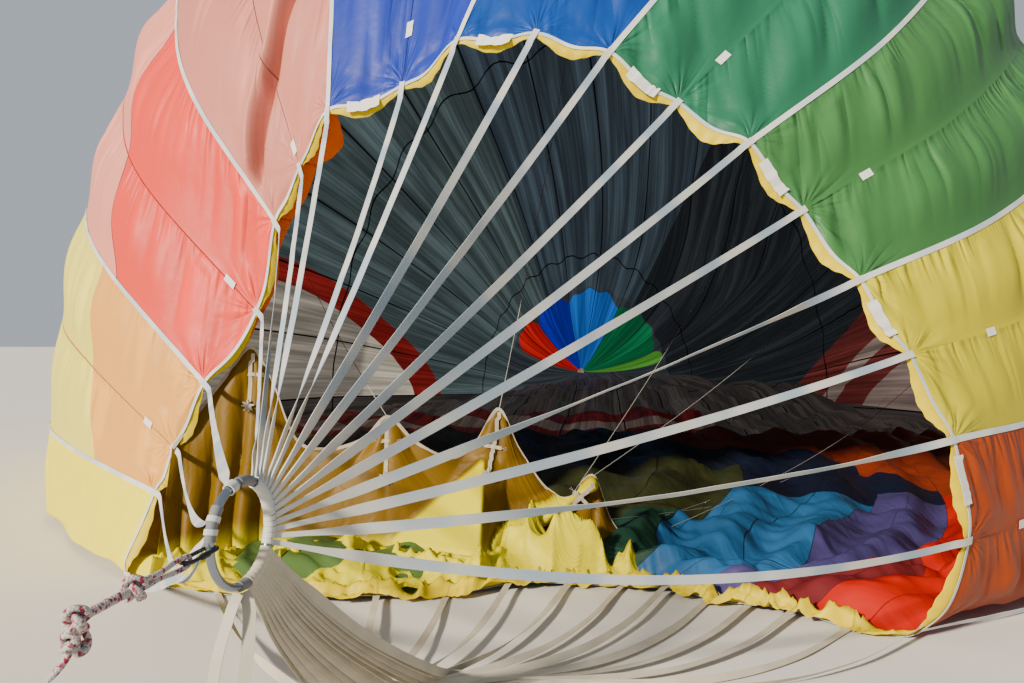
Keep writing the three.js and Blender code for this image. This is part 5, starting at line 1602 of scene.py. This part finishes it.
def bar(build, start, end, halves, across, radius=0.004, chamfer=0.003, slot=0):
    """Straight bar with rounded edges and chamfered ends. halves are half of its width, along across, and half of
    its depth."""
    start, end = np.asarray(start, float), np.asarray(end, float)
    way = unit(end - start)
    u = dropped(np.asarray(across, float), way)
    v = np.cross(way, u)
    rings = []
    for place, inset in ((start, chamfer), (start + way * chamfer, 0), (end - way * chamfer, 0), (end, chamfer)):
        outline = rounded(halves[0] - inset, halves[1] - inset, max(radius - inset, 0.0006), steps=3)
        rings.append(place + outline[:, :1] * u + outline[:, 1:] * v)
    places = lengths(np.concatenate([outline, outline[:1]]))
    count = len(outline)
    build.add(np.array(rings), [(i, (i + 1) % count, places[i], places[i + 1], True) for i in range(count)], slot)


def at_frame(x, y, z):
    """Place given from the centre of the load frame."""
    return np.array([BASKET_X + x, FRAME_Y + y, BASKET_Z + z])


# Profiles: radius and distance of each step
PIN = [(0.007, 0), (0.007, 0.044)]
PIN_HEAD = [(0.010, 0), (0.012, 0.002), (0.012, 0.007)]
FERRULE = [(0.0065, 0), (0.0072, 0.004), (0.0072, 0.036), (0.0065, 0.040)]
CRIMP = [(0.0065, 0), (0.0085, 0.004), (0.0085, 0.034), (0.0065, 0.038)]


def frame_corner(sx, y, sz):
    """Place over a corner of the load frame, where a pole and the cables of that corner meet it."""
    return at_frame(sx * 0.600, y, sz * 0.500)


CORNERS = (
    ("top_left", -1, 1, (-4, -2, 0, 2)), ("top_right", 1, 1, (4, 6, 8, 10)), ("bottom_right", 1, -1, (12, 14, 16, 18)),
    ("bottom_left", -1, -1, (20, 22, 24, 26)),
)  # fmt: skip
for name, sx, sz, gores in CORNERS:
    eye = frame_corner(sx, -0.1023, sz)
    build = Build()
    bar(build, eye + [0, -0.020, 0], eye + [0, 0.022, 0], (0.032, 0.015), (1, 0, 0), radius=0.006, slot=1)
    for profile, sides in ((PIN, 16), (PIN_HEAD, 6)):
        build.turned(eye + [0, 0.006, -0.022], UP, profile, sides, 1)
    for i, gore in enumerate(gores):
        end, along, around, outwards = seam_end(gore, MOUTH)
        end = end + along * 0.066 + outwards * 0.012
        start = eye + [(i - 1.5) * 0.015 * sz, -0.012, 0]
        way = unit(end - start)
        build.tube(start + (end - start) * np.linspace(0, 1, 30)[:, None], 0.006, sides=10)
        # at the hem the cable goes through an eyelet and is pressed back on itself
        build.turned(start + way * 0.012, way, FERRULE, 14, 1)
        build.turned(end - way * 0.075, way, CRIMP, 14, 1)
        build.ring(end, 0.014, 0.0035, along, around, steps=24, sides=8, slot=1)
    build.make(f"flying_cable_set_{name}", (cable_steel, block_steel), replaces=f"flying_cables_{name}", hard=True)

# %% [markdown]
# ## Load frame, gimbal and burner
# The load frame is welded from square tube and padded where the crew may touch it. The gimbal hangs in it on two pins,
# and the double burner in the gimbal on two more, so the flame can be aimed both ways. Each can holds a coil of tube
# in which the flame vaporises its own fuel, a ring of jets and a pilot light.

# %% Load frame and gimbal
frame_steel = steel("satin stainless tube", "#a7abb0", roughness=0.34, scratches=45.0)
bolt_steel = steel("zinc-plated bolts", "#8f9296", roughness=0.38, scratches=80.0)


def tube_frame(build, half_x, half_z, bar_size, depth, slot=0):
    """Rectangular frame round the frame's centre, with butted corners and their weld beads."""
    mid_x, mid_z, half = half_x - bar_size / 2, half_z - bar_size / 2, bar_size / 2
    inner, halves = half_z - bar_size, (half, depth / 2)
    for side in (-1, 1):
        bar(build, at_frame(-half_x, 0, side * mid_z), at_frame(half_x, 0, side * mid_z), halves, UP, slot=slot)
        ends = (at_frame(side * mid_x, 0, end) for end in (-inner, inner))
        bar(build, *ends, halves, (1, 0, 0), chamfer=0.001, slot=slot)
        for other in (-1, 1):
            corner = [(-half, -half), (half, -half), (half, half), (-half, half), (-half, -half)]
            bead = [at_frame(side * mid_x + a * 0.98, b * depth / bar_size * 0.98, other * inner) for a, b in corner]
            build.tube(bead, 0.0022, sides=6, slot=slot)


build = Build()
tube_frame(build, FRAME_HALF_X, FRAME_HALF_Z, FRAME_BAR, 0.040)
for sx in (-1, 1):
    ear = at_frame(sx * 0.580, 0, 0)
    bar(build, ear - UP * 0.030, ear + UP * 0.030, (0.030, 0.030), (1, 0, 0), radius=0.006)
    build.turned(ear + [sx * 0.030, 0, 0], (sx, 0, 0), [(0.022, 0), (0.022, 0.004), (0.019, 0.006)], 32, 1)
    for sz in (-1, 1):
        lug = frame_corner(sx, 0, sz)
        bar(build, lug + [0, -0.018, 0], lug + [0, -0.080, 0], (0.014, 0.014), (1, 0, 0))
        build.turned(lug + [sx * 0.014, -0.062, 0], (sx, 0, 0), [(0.008, 0), (0.008, 0.005), (0.006, 0.007)], 6, 1)
build.make("load_frame_tube", (frame_steel, bolt_steel), replaces="load_frame", hard=True)

build = Build()
tube_frame(build, 0.370, 0.215, 0.030, 0.030)
for sx in (-1, 1):
    build.turned(at_frame(sx * 0.365, 0, 0), (sx, 0, 0), [(0.012, 0), (0.012, 0.262), (0.010, 0.264)], 32, 1)
    build.turned(at_frame(sx * 0.370, 0, 0), (sx, 0, 0), [(0.020, 0), (0.020, 0.012), (0.017, 0.015)], 32)
for sz in (-1, 1):
    build.turned(at_frame(0, 0, sz * 0.215), (0, 0, sz), [(0.020, 0), (0.020, 0.003), (0.018, 0.004)], 32)
build.make("burner_gimbal_frame", (frame_steel, bolt_steel), "gimbal", "burner_gimbal", hard=True)

# %% Burner
can_steel = steel("heat-tinted stainless sheet", "#9b948c", roughness=0.3, scratches=25.0)
coil_steel = steel("heat-blued coil tube", "#5d6068", roughness=0.4, scratches=50.0)
block_alloy = steel("anodised alloy", "#4a4d52", roughness=0.42, scratches=70.0)
brass = steel("brass fittings", "#b08a3c", roughness=0.35, scratches=60.0)


def painted(name, colour, roughness=0.4):
    """Powder-coated metal or plain plastic, with a little dust."""
    material, tree, shader = new_material(name, Roughness=roughness, Specular_IOR_Level=0.4)
    place = object_place(tree)
    tone = mixed(clouds(place, 22.0, 5.0), *two_tones(colour, 0.14))
    feed(shader, {"Base Color": tone, "Normal": bump(clouds(place, 900.0, 1.0), 0.2, 0.0002)})
    return material


def round_y(angle):
    """Unit vectors at right angles to the burner's and the basket's axis."""
    return np.stack([np.cos(angle), 0.0 * angle, np.sin(angle)], axis=-1)


red_grip = painted("red handle grip", "#a41f1a")
dark_dial = painted("dial face", "#dfe0dc", roughness=0.25)
CAN_PROFILE = [
    (0.108, -0.0004), (0.112, 0.002), (0.139, 0.048), (0.140, 0.052), (0.140, 0.060), (0.1412, 0.062), (0.1412, 0.070),
    (0.140, 0.072), (0.140, 0.180), (0.1412, 0.182), (0.1412, 0.190), (0.140, 0.192), (0.140, 0.350), (0.1425, 0.354),
    (0.1425, 0.358), (0.140, 0.360), (0.135, 0.360), (0.134, 0.356), (0.134, 0.056), (0.104, 0.032),
]  # fmt: skip
HOLDER = [(0.016, 0), (0.016, 0.050), (0.010, 0.058)]
JET = [(0.005, 0), (0.005, 0.010), (0.0025, 0.013)]
PILOT = [(0.011, 0), (0.011, 0.085), (0.007, 0.085), (0.007, 0.070)]
TO_CROWN = (0, -1, 0)
ACROSS = np.array([1.0, 0.0, 0.0])
SIDES_X = (("left", -1), ("right", 1))
for side_name, sx in SIDES_X:
    centre = at_frame(sx * 0.152, 0, 0)
    build = Build()
    build.turned(centre, TO_CROWN, CAN_PROFILE, 64)
    turns = np.linspace(0, 2 * np.pi * 8, 8 * 36)
    coil = centre + 0.112 * round_y(turns) - np.outer(0.070 + 0.030 * turns / 2 / np.pi, (0, 1, 0))
    build.tube(coil, 0.0075, sides=8, slot=1)
    leads = [coil[-1], coil[-1] + [-0.01, 0.02, 0.012], centre + [0.085, -0.20, -0.01], centre + [0.085, -0.030, -0.01]]
    build.tube(smooth_line(leads, 20), 0.007, sides=8, slot=1)
    build.ring(centre + [0, -0.085, 0], 0.058, 0.010, ACROSS, UP, steps=48, sides=12, slot=1)
    build.turned(centre + [0, -0.030, 0], TO_CROWN, HOLDER, 24, 2)
    for k in range(12):
        build.turned(centre + 0.058 * round_y(k * np.pi / 6) + [0, -0.094, 0], TO_CROWN, JET, 8, 2)
    for k in range(3):
        spoke = round_y(k * 2 * np.pi / 3 + 0.5)
        build.tube([centre + [0, -0.070, 0] + spoke * t for t in np.linspace(0.014, 0.133, 6)], 0.004, sides=8, slot=2)
    build.turned(centre + [0.030, -0.030, 0.030], TO_CROWN, PILOT, 20)
    name, materials = f"burner_can_{side_name}", (can_steel, coil_steel, brass)
    build.make(f"{name}_shell", materials, "burner", name, hard=True)

build = Build()
# the block in two steps, then the web between the cans
for x, y, halves, radius in ((0.215, 0.030, (0.030, 0.075), 0.008), (0.090, 0.090, (0.035, 0.055), 0.010)):
    bar(build, at_frame(-x, y, 0), at_frame(x, y, 0), halves, (0, 1, 0), radius, chamfer=0.005)
bar(build, at_frame(0, 0.006, -0.179), at_frame(0, 0.006, 0.179), (0.009, 0.030), (1, 0, 0), radius=0.003)
build.turned(at_frame(0, 0, -0.220), UP, [(0.010, 0), (0.012, 0.002), (0.012, 0.438), (0.010, 0.440)], 32, 2)
GAUGE = [(0.006, 0), (0.006, 0.018), (0.027, 0.020), (0.027, 0.038), (0.024, 0.040)]
INLET = [(0.011, 0), (0.011, 0.012), (0.014, 0.014), (0.014, 0.026), (0.009, 0.028), (0.009, 0.044)]
# Blast valve, gauge, its dial, and the inlet of the fuel hose: place, profile, sides, slot
FITTINGS = [
    ((0.055, 0.122, 0.020), [(0.020, 0), (0.020, 0.022), (0.012, 0.026)], 24, 1), ((0.160, 0.058, 0.030), GAUGE, 32, 2),
    ((0.160, 0.0975, 0.030), [(0.023, 0), (0.023, 0.0012)], 32, 4), ((0.160, 0.058, -0.035), INLET, 6, 1),
]  # fmt: skip
LEVER = [(0.055, 0.140, 0.020), (0.060, 0.160, 0.000), (0.062, 0.166, -0.060), (0.062, 0.160, -0.120)]
for sx in (-1, 1):
    valve, *others = FITTINGS
    (x, y, z), *rest = valve
    build.turned(at_frame(sx * x, y, z), (0, 1, 0), *rest)
    lever = [at_frame(sx * x, y, z) for x, y, z in LEVER]
    build.tube(smooth_line(lever, 24), 0.0045, sides=10, slot=2)
    grip = np.linspace(lever[2], lever[3], 12) + [0, 0.001, 0]
    build.tube(grip, 0.0085 + 0.0015 * np.sin(np.linspace(0, 40, 12)), sides=12, slot=3)
    for (x, y, z), *rest in others:
        build.turned(at_frame(sx * x, y, z), (0, 1, 0), *rest)
materials = (block_alloy, brass, bolt_steel, red_grip, dark_dial)
build.make("burner_base_block", materials, "burner", "burner_base", hard=True)

# %% [markdown]
# ## Basket
# The basket is woven of willow and cane round upright stakes that go through the floor. Its rim is foam under suede,
# sewn on. Four nylon poles in laced leather sleeves carry the load frame, and a steel cylinder stands in each corner,
# held by two straps. Geometry Nodes set the rows of the weave and the stitches, because both repeat a step.

# %% Node trees for what repeats
def node_tree(name, sizes):
    """Empty Geometry Nodes tree with named inputs, and its input and output nodes."""
    tree = bpy.data.node_groups.new(name, "GeometryNodeTree")
    tree.interface.new_socket("Geometry", in_out="INPUT", socket_type="NodeSocketGeometry")
    for label, value in sizes.items():
        kind = "NodeSocketInt" if isinstance(value, int) else "NodeSocketFloat"
        tree.interface.new_socket(label, in_out="INPUT", socket_type=kind).default_value = value
    tree.interface.new_socket("Finish", in_out="INPUT", socket_type="NodeSocketMaterial")
    tree.interface.new_socket("Geometry", in_out="OUTPUT", socket_type="NodeSocketGeometry")
    return tree, tree.nodes.new("NodeGroupInput"), tree.nodes.new("NodeGroupOutput")


def wire(tree, *links):
    """Joins nodes: source node, its output, target node, its input."""
    for source, output, target, socket in links:
        tree.links.new(source.outputs[output], target.inputs[socket])


def finish_tree(tree, group_input, group_output, copies):
    """Ends a tree in Realize Instances and Set Material."""
    real = tree.nodes.new("GeometryNodeRealizeInstances")
    finish = tree.nodes.new("GeometryNodeSetMaterial")
    wire(
        tree, (copies, "Instances", real, "Geometry"), (real, "Geometry", finish, "Geometry"),
        (group_input, "Finish", finish, "Material"), (finish, "Geometry", group_output, "Geometry"),
    )  # fmt: skip


def grow(piece, tree, material, **sizes):
    """Runs a tree on a piece, and leaves the result as its plain mesh."""
    modifier = piece.modifiers.new("grow", "NODES")
    modifier.node_group = tree
    for item in tree.interface.items_tree:
        if item.in_out == "INPUT" and item.name in sizes:
            modifier[item.identifier] = sizes[item.name]
        if item.in_out == "INPUT" and item.name == "Finish":
            modifier[item.identifier] = material
    evaluated = piece.evaluated_get(bpy.context.evaluated_depsgraph_get())
    mesh = bpy.data.meshes.new_from_object(evaluated)
    piece.modifiers.remove(modifier)
    old, piece.data = piece.data, mesh
    bpy.data.meshes.remove(old)
    mesh.name = piece.name


rows_tree, source, target = node_tree("rows of a weave", {"Rows": 10, "Step": 0.02})
line = rows_tree.nodes.new("GeometryNodeMeshLine")
offset = rows_tree.nodes.new("ShaderNodeCombineXYZ")
copies = rows_tree.nodes.new("GeometryNodeInstanceOnPoints")
wire(
    rows_tree, (source, "Rows", line, "Count"), (source, "Step", offset, "Y"), (offset, "Vector", line, "Offset"),
    (line, "Mesh", copies, "Points"), (source, "Geometry", copies, "Instance"),
)  # fmt: skip
finish_tree(rows_tree, source, target, copies)

stitch_tree, source, target = node_tree("stitches along a path", {"Spacing": 0.01, "Length": 0.006, "Thread": 0.0012})
curve = stitch_tree.nodes.new("GeometryNodeMeshToCurve")
spaced = stitch_tree.nodes.new("GeometryNodeResampleCurve")
spaced.mode = "LENGTH"
tangent_there = stitch_tree.nodes.new("GeometryNodeInputTangent")
turned_to = stitch_tree.nodes.new("FunctionNodeAlignRotationToVector")
turned_to.axis = "Z"
stitch = stitch_tree.nodes.new("GeometryNodeMeshIcoSphere")
stitch.inputs["Radius"].default_value = 0.5
stitch.inputs["Subdivisions"].default_value = 1
size = stitch_tree.nodes.new("ShaderNodeCombineXYZ")
copies = stitch_tree.nodes.new("GeometryNodeInstanceOnPoints")
wire(
    stitch_tree, (source, "Geometry", curve, "Mesh"), (curve, "Curve", spaced, "Curve"),
    (source, "Spacing", spaced, "Length"), (tangent_there, "Tangent", turned_to, "Vector"),
    (source, "Thread", size, "X"), (source, "Thread", size, "Y"), (source, "Length", size, "Z"),
    (spaced, "Curve", copies, "Points"), (stitch, "Mesh", copies, "Instance"),
    (turned_to, "Rotation", copies, "Rotation"), (size, "Vector", copies, "Scale"),
)  # fmt: skip
finish_tree(stitch_tree, source, target, copies)


def stitches(name, paths, **sizes):
    """Stitches of waxed thread along closed or open lines of points."""
    points, edges = [], []
    for path in paths:
        edges += [(len(points) + i, len(points) + i + 1) for i in range(len(path) - 1)]
        points += [tuple(p) for p in path]
    mesh = bpy.data.meshes.new(name)
    mesh.from_pydata(points, edges, [])
    piece = put(name, mesh)
    grow(piece, stitch_tree, thread, **sizes)
    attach(piece, "balloon")


# %% Wicker
def wood_like(name, colour, spread, scale, roughness=0.6, along="Y"):
    """Wood or cane: grain along one axis and a change of tone from place to place."""
    material, tree, shader = new_material(name, Roughness=roughness, Specular_IOR_Level=0.3)
    place = object_place(tree)
    stretch = [0.12 if axis == along else 1 for axis in "XYZ"]
    grain = clouds(node(tree, "Mapping", {"Vector": place, "Scale": stretch}), scale, 6.0, 0.6)
    shade = ramp(clouds(place, 9.0, 4.0), 0.3, 0.7, 0.7, 1.1)
    tone = mixed(1.0, mixed(grain, *two_tones(colour, spread)), shade, "MULTIPLY")
    feed(shader, {"Base Color": tone, "Normal": bump(grain, 0.3, 0.0006)})
    return material


willow = wood_like("varnished willow", "#a9762f", 0.4, 70.0, roughness=0.42, along="X")
cane = wood_like("cane stakes", "#8a5f2a", 0.3, 60.0, roughness=0.5)


BASKET_HALF_X, BASKET_HALF_Z, BASKET_ROUND = 0.800, 0.675, 0.130


def basket_outline(inset, steps):
    """Outline of the basket's outer face, or of a line at a distance inside it."""
    return rounded(BASKET_HALF_X - inset, BASKET_HALF_Z - inset, BASKET_ROUND - inset, steps)


def closed_line(points):
    return np.concatenate([points, points[:1]])


def basket_loop(inset, count):
    """Points round the basket at a distance inside its outer face, evenly spaced, with their outward directions."""
    outline = basket_outline(inset, 24)
    closed = closed_line(outline)
    place = lengths(closed)
    wanted = np.linspace(0, place[-1], count, endpoint=False)
    x, z = np.interp(wanted, place, closed[:, 0]), np.interp(wanted, place, closed[:, 1])
    points = np.stack([x, np.zeros(count), z], axis=1)
    way = unit(np.roll(points, -1, axis=0) - np.roll(points, 1, axis=0))
    return points + [BASKET_X, 0, BASKET_Z], np.cross(way, [0, -1.0, 0])


STAKES = 92  # an even number, so that each row closes on itself
ROW_STEP = 0.0115
WALL_MIDDLE = 0.0175  # distance of the stakes inside the outer face
ALONG = np.array([0.0, 1.0, 0.0])
IN_AND_OUT = np.tile([1, 0, -1, 0], STAKES // 2)
loop, loop_out = basket_loop(WALL_MIDDLE, STAKES * 2)
build = Build()
for row, shift in ((0, 1), (1, -1)):
    wave = 0.0085 * shift * IN_AND_OUT
    strand = loop + loop_out * wave[:, None] + [0, BASKET_TOP + 0.008 + row * ROW_STEP, 0]
    build.tube(closed_line(strand), 0.0070, sides=5)
weave = build.make("basket_weave", (willow,), replaces="basket_wicker")
grow(weave, rows_tree, willow, Rows=47, Step=2 * ROW_STEP)
build = Build()
for stake in basket_loop(WALL_MIDDLE, STAKES)[0]:
    build.tube(np.linspace(stake + ALONG * (BASKET_TOP + 0.001), stake + ALONG * (BASKET_BOTTOM - 0.001), 4), 0.0055, 8)
# thick borders at the foot
border, border_out = basket_loop(WALL_MIDDLE, 240)
for height, radius in ((BASKET_BOTTOM - 0.018, 0.016), (BASKET_BOTTOM - 0.045, 0.014)):
    for phase in (0, np.pi):
        turn = (np.arange(240) * 2 * np.pi / 8 + phase)[:, None]
        plait = border + border_out * (0.007 * np.cos(turn)) + ALONG * (height + 0.007 * np.sin(turn))
        build.tube(closed_line(plait), radius * 0.55, sides=8)
build.make("basket_stakes", (cane,))
print("weave", len(weave.data.polygons), "faces")

# %% Rim, poles and floor
def leather(name, colour, grain=260.0):
    material, tree, shader = new_material(name, Roughness=0.75, Specular_IOR_Level=0.2)
    place = object_place(tree)
    cells = node(tree, "TexVoronoi", {"Vector": place, "Scale": grain})
    tone = mixed(clouds(place, 6.0, 5.0), *two_tones(colour, 0.3))
    feed(shader, {"Base Color": tone, "Normal": bump(cells, 0.35, 0.0008)})
    return material


suede = leather("brown suede", "#5a3a26")
sleeve_leather = leather("dark pole leather", "#3a2920", grain=180.0)
thread = painted("waxed thread", "#cdbf9f", roughness=0.8)

RIM_Y = 26.6697
rim_loop, rim_out = basket_loop(WALL_MIDDLE, 300)
# the basket lies on its side, so the pad is squeezed flush with the wall that lies on the ground
rim_loop[:, 2] = BASKET_Z + (rim_loop[:, 2] - BASKET_Z) * 0.9688
turn = np.linspace(0, 2 * np.pi, 28, endpoint=False)
wide, high = (half * np.sign(way) * np.abs(way) ** 0.75 for half, way in ((0.036, np.cos(turn)), (0.030, np.sin(turn))))
# the pad pulls in at a seam every 25 cm
pulled = (1 - 0.07 * np.exp(-(((np.mod(np.arange(300), 15) - 7) / 0.9) ** 2)))[:, None, None]
rings = rim_loop[:, None] + wide[:, None] * pulled * rim_out[:, None] + ALONG * (RIM_Y + high[:, None] * pulled)
build = Build()
build.add(closed_line(rings), round_sides(28, 0.0074))
rim_pad = build.make("basket_rim_pad", (suede,), replaces="basket_rim")
seams = [closed_line(rim_loop + rim_out * side * 0.0335 + ALONG * (RIM_Y + 0.0135)) for side in (-1, 1)]
stitches("basket_rim_stitches", seams, Spacing=0.012, Length=0.008, Thread=0.002)

CORNER_SIDES = [(level, sz, side, sx) for level, sz in (("top", 1), ("bottom", -1)) for side, sx in SIDES_X]
share = np.linspace(0, 1, 50)
neck = sum(0.002 * np.exp(-(((share - end) / 0.015) ** 2)) for end in (0.03, 0.97))
for level, sz, side, sx in CORNER_SIDES:
    foot = np.array([BASKET_X + sx * 0.7605, 26.6394, BASKET_Z + sz * 0.6355])
    reach = frame_corner(sx, 0.0203, sz) - foot
    build = Build()
    swell = 0.0235 - neck + 0.0004 * noise(share * 12, sx + 2 * sz, 91)
    build.tube(foot + reach * share[:, None], swell, sides=24)
    build.make(f"pole_sleeve_{level}_{side}", (sleeve_leather,), replaces=f"upright_{level}_{side}")
    way = unit(reach)
    out = dropped(unit(np.array([-sx, 0, -sz])), way)
    seam = foot + reach * np.linspace(0.04, 0.96, 30)[:, None] + out * 0.0238
    beside = np.cross(way, out) * 0.006
    stitches(f"pole_lacing_{level}_{side}", [seam - beside, seam + beside], Spacing=0.016, Length=0.010, Thread=0.0025)

plywood = wood_like("oiled plywood", "#8a6238", 0.35, 40.0, along="X")
build = Build()
FLOOR_Y = BASKET_BOTTOM + 0.0003
SCREW = [(0.006, 0), (0.006, 0.0014), (0.004, 0.002)]
rings = []
for y, inset in ((0, 0.002), (0.002, 0), (0.020, 0), (0.022, 0.002)):
    x, z = basket_outline(inset, 12).T
    rings.append(np.stack([BASKET_X + x, np.full_like(x, FLOOR_Y + y), BASKET_Z - z], axis=1))
build.add(np.array(rings), round_sides(len(x), 0.03))
for sx in (-1, 1):
    middle = np.array([BASKET_X + sx * 0.480, FLOOR_Y + 0.022 + 0.0275, BASKET_Z])
    bar(build, middle - UP * 0.545, middle + UP * 0.545, (0.0275, 0.0275), (1, 0, 0), radius=0.006, chamfer=0.006)
    for k in range(7):
        build.turned(middle + [0, 0.0265, -0.48 + 0.16 * k], ALONG, SCREW, 12, 1)
build.make("basket_floor_board", (plywood, bolt_steel), replaces="basket_floor", hard=True)

# %% Fuel cylinders
tank_steel = steel("brushed tank steel", "#a3a7ab", roughness=0.36, scratches=14.0)
strap_webbing = webbing("black strap webbing", "#26272a", rib=0.002, dirt=0.2)
red_wheel = painted("red valve wheel", "#b0281e")
TANK = [(0.125, 0.0006), (0.127, 0.004), (0.127, 0.030), (0.135, 0.036), (0.148, 0.060), (0.150, 0.075), (0.150, 0.340)]
TANK += [(0.1512, 0.343), (0.1512, 0.349), (0.150, 0.352)]
TANK += [(0.150 * math.cos(t), 0.680 + 0.078 * math.sin(t)) for t in np.linspace(0, 1.30, 12)]
TANK += [(0.034, 0.760), (0.034, 0.785), (0.024, 0.790)]
VALVE = [(0.014, 0), (0.014, 0.024), (0.009, 0.026), (0.009, 0.034)]
OUTLET = [(0.008, 0), (0.008, 0.036), (0.012, 0.038), (0.012, 0.055), (0.009, 0.057)]
round_it = round_y(np.linspace(0, 2 * np.pi, 61))
for level, sz, side, sx in CORNER_SIDES:
    base = np.array([BASKET_X + sx * 0.6147, BASKET_BOTTOM, BASKET_Z + sz * 0.4897])
    build = Build()
    build.turned(base, TO_CROWN, TANK, 56)
    # guard ring on three legs, valve, hose outlet, and the valve's wheel
    build.ring(base + [0, -0.815, 0], 0.085, 0.006, ACROSS, UP, steps=48, sides=10)
    for k in range(3):
        spoke = round_y(k * 2 * np.pi / 3 + 0.3)
        build.tube([base + spoke * 0.085 - ALONG * t for t in np.linspace(0.735, 0.815, 5)], 0.0055, sides=8)
    build.turned(base + [0, -0.786, 0], TO_CROWN, VALVE, 20, 1)
    build.turned(base + [0, -0.800, 0], (-sx, 0, 0), OUTLET, 18, 1)
    hub = base + [0, -0.822, 0]
    build.ring(hub, 0.021, 0.0048, ACROSS, UP, steps=28, sides=10, slot=2)
    for k in range(4):
        spoke = round_y(k * np.pi / 2)
        build.tube([hub + spoke * t for t in (0.0, 0.007, 0.014, 0.021)], 0.003, sides=6, slot=2)
    inwards = unit(np.array([-sx, 0, -sz * 0.4]))
    half = np.cross(inwards, ALONG) * 0.025
    for height in (0.22, 0.56):
        build.ribbon(base + [0, -height, 0] + round_it * 0.1516, ALONG, round_it, 0.045, 0.0022, slot=3)
        buckle = base + [0, -height, 0] + inwards * 0.155
        bar(build, buckle - half, buckle + half, (0.026, 0.0035), ALONG, radius=0.003, chamfer=0.001)
    materials = (tank_steel, brass, red_wheel, strap_webbing)
    build.make(f"fuel_tank_{level}_{side}", materials, replaces=f"fuel_cylinder_{level}_{side}", hard=True)

# %% Finishes of the record
SLOTS = {
    "cream_band": "fabric_cream", "grey_band": "fabric_grey", "mouth_band": "fabric_rainbow", "vent_hem": "hem_yellow",
    "mouth_hem": "hem_red", "vent_parachute": "parachute_yellow", "orange_flap": "fabric_orange", "patches": "webbing",
    "load_webbing": "webbing", "seam_tape": "webbing", "rim_tape": "webbing", "hanging_tail": "webbing",
    "parachute_tapes": "webbing", "parachute_lines": "rope", "ring_sleeves": "webbing", "crown_ring": "ring_steel",
    "crown_karabiner": "karabiner_steel", "crown_line": "rope", "flying_cable": "cable_steel",
    "load_frame": "frame_steel", "burner_gimbal": "frame_steel", "burner_base": "burner_steel",
    "burner_can": "burner_steel", "basket_weave": "wicker", "basket_stakes": "wicker", "basket_rim": "rim_leather",
    "basket_floor": "floor_wood", "pole_": "pole_leather", "fuel_tank": "cylinder_steel",
}  # fmt: skip
slotted = 0
for piece in bpy.data.objects:
    if piece.type != "MESH" or piece.name in cad_names:
        continue
    slot = next((value for start, value in SLOTS.items() if piece.name.startswith(start)), None)
    if piece.name.startswith("crown_panel_"):
        slot = "fabric_" + piece.name.removeprefix("crown_panel_").removesuffix("_cloth")
    if slot:
        slotted += 1
print("pieces with a finish of the record", slotted)
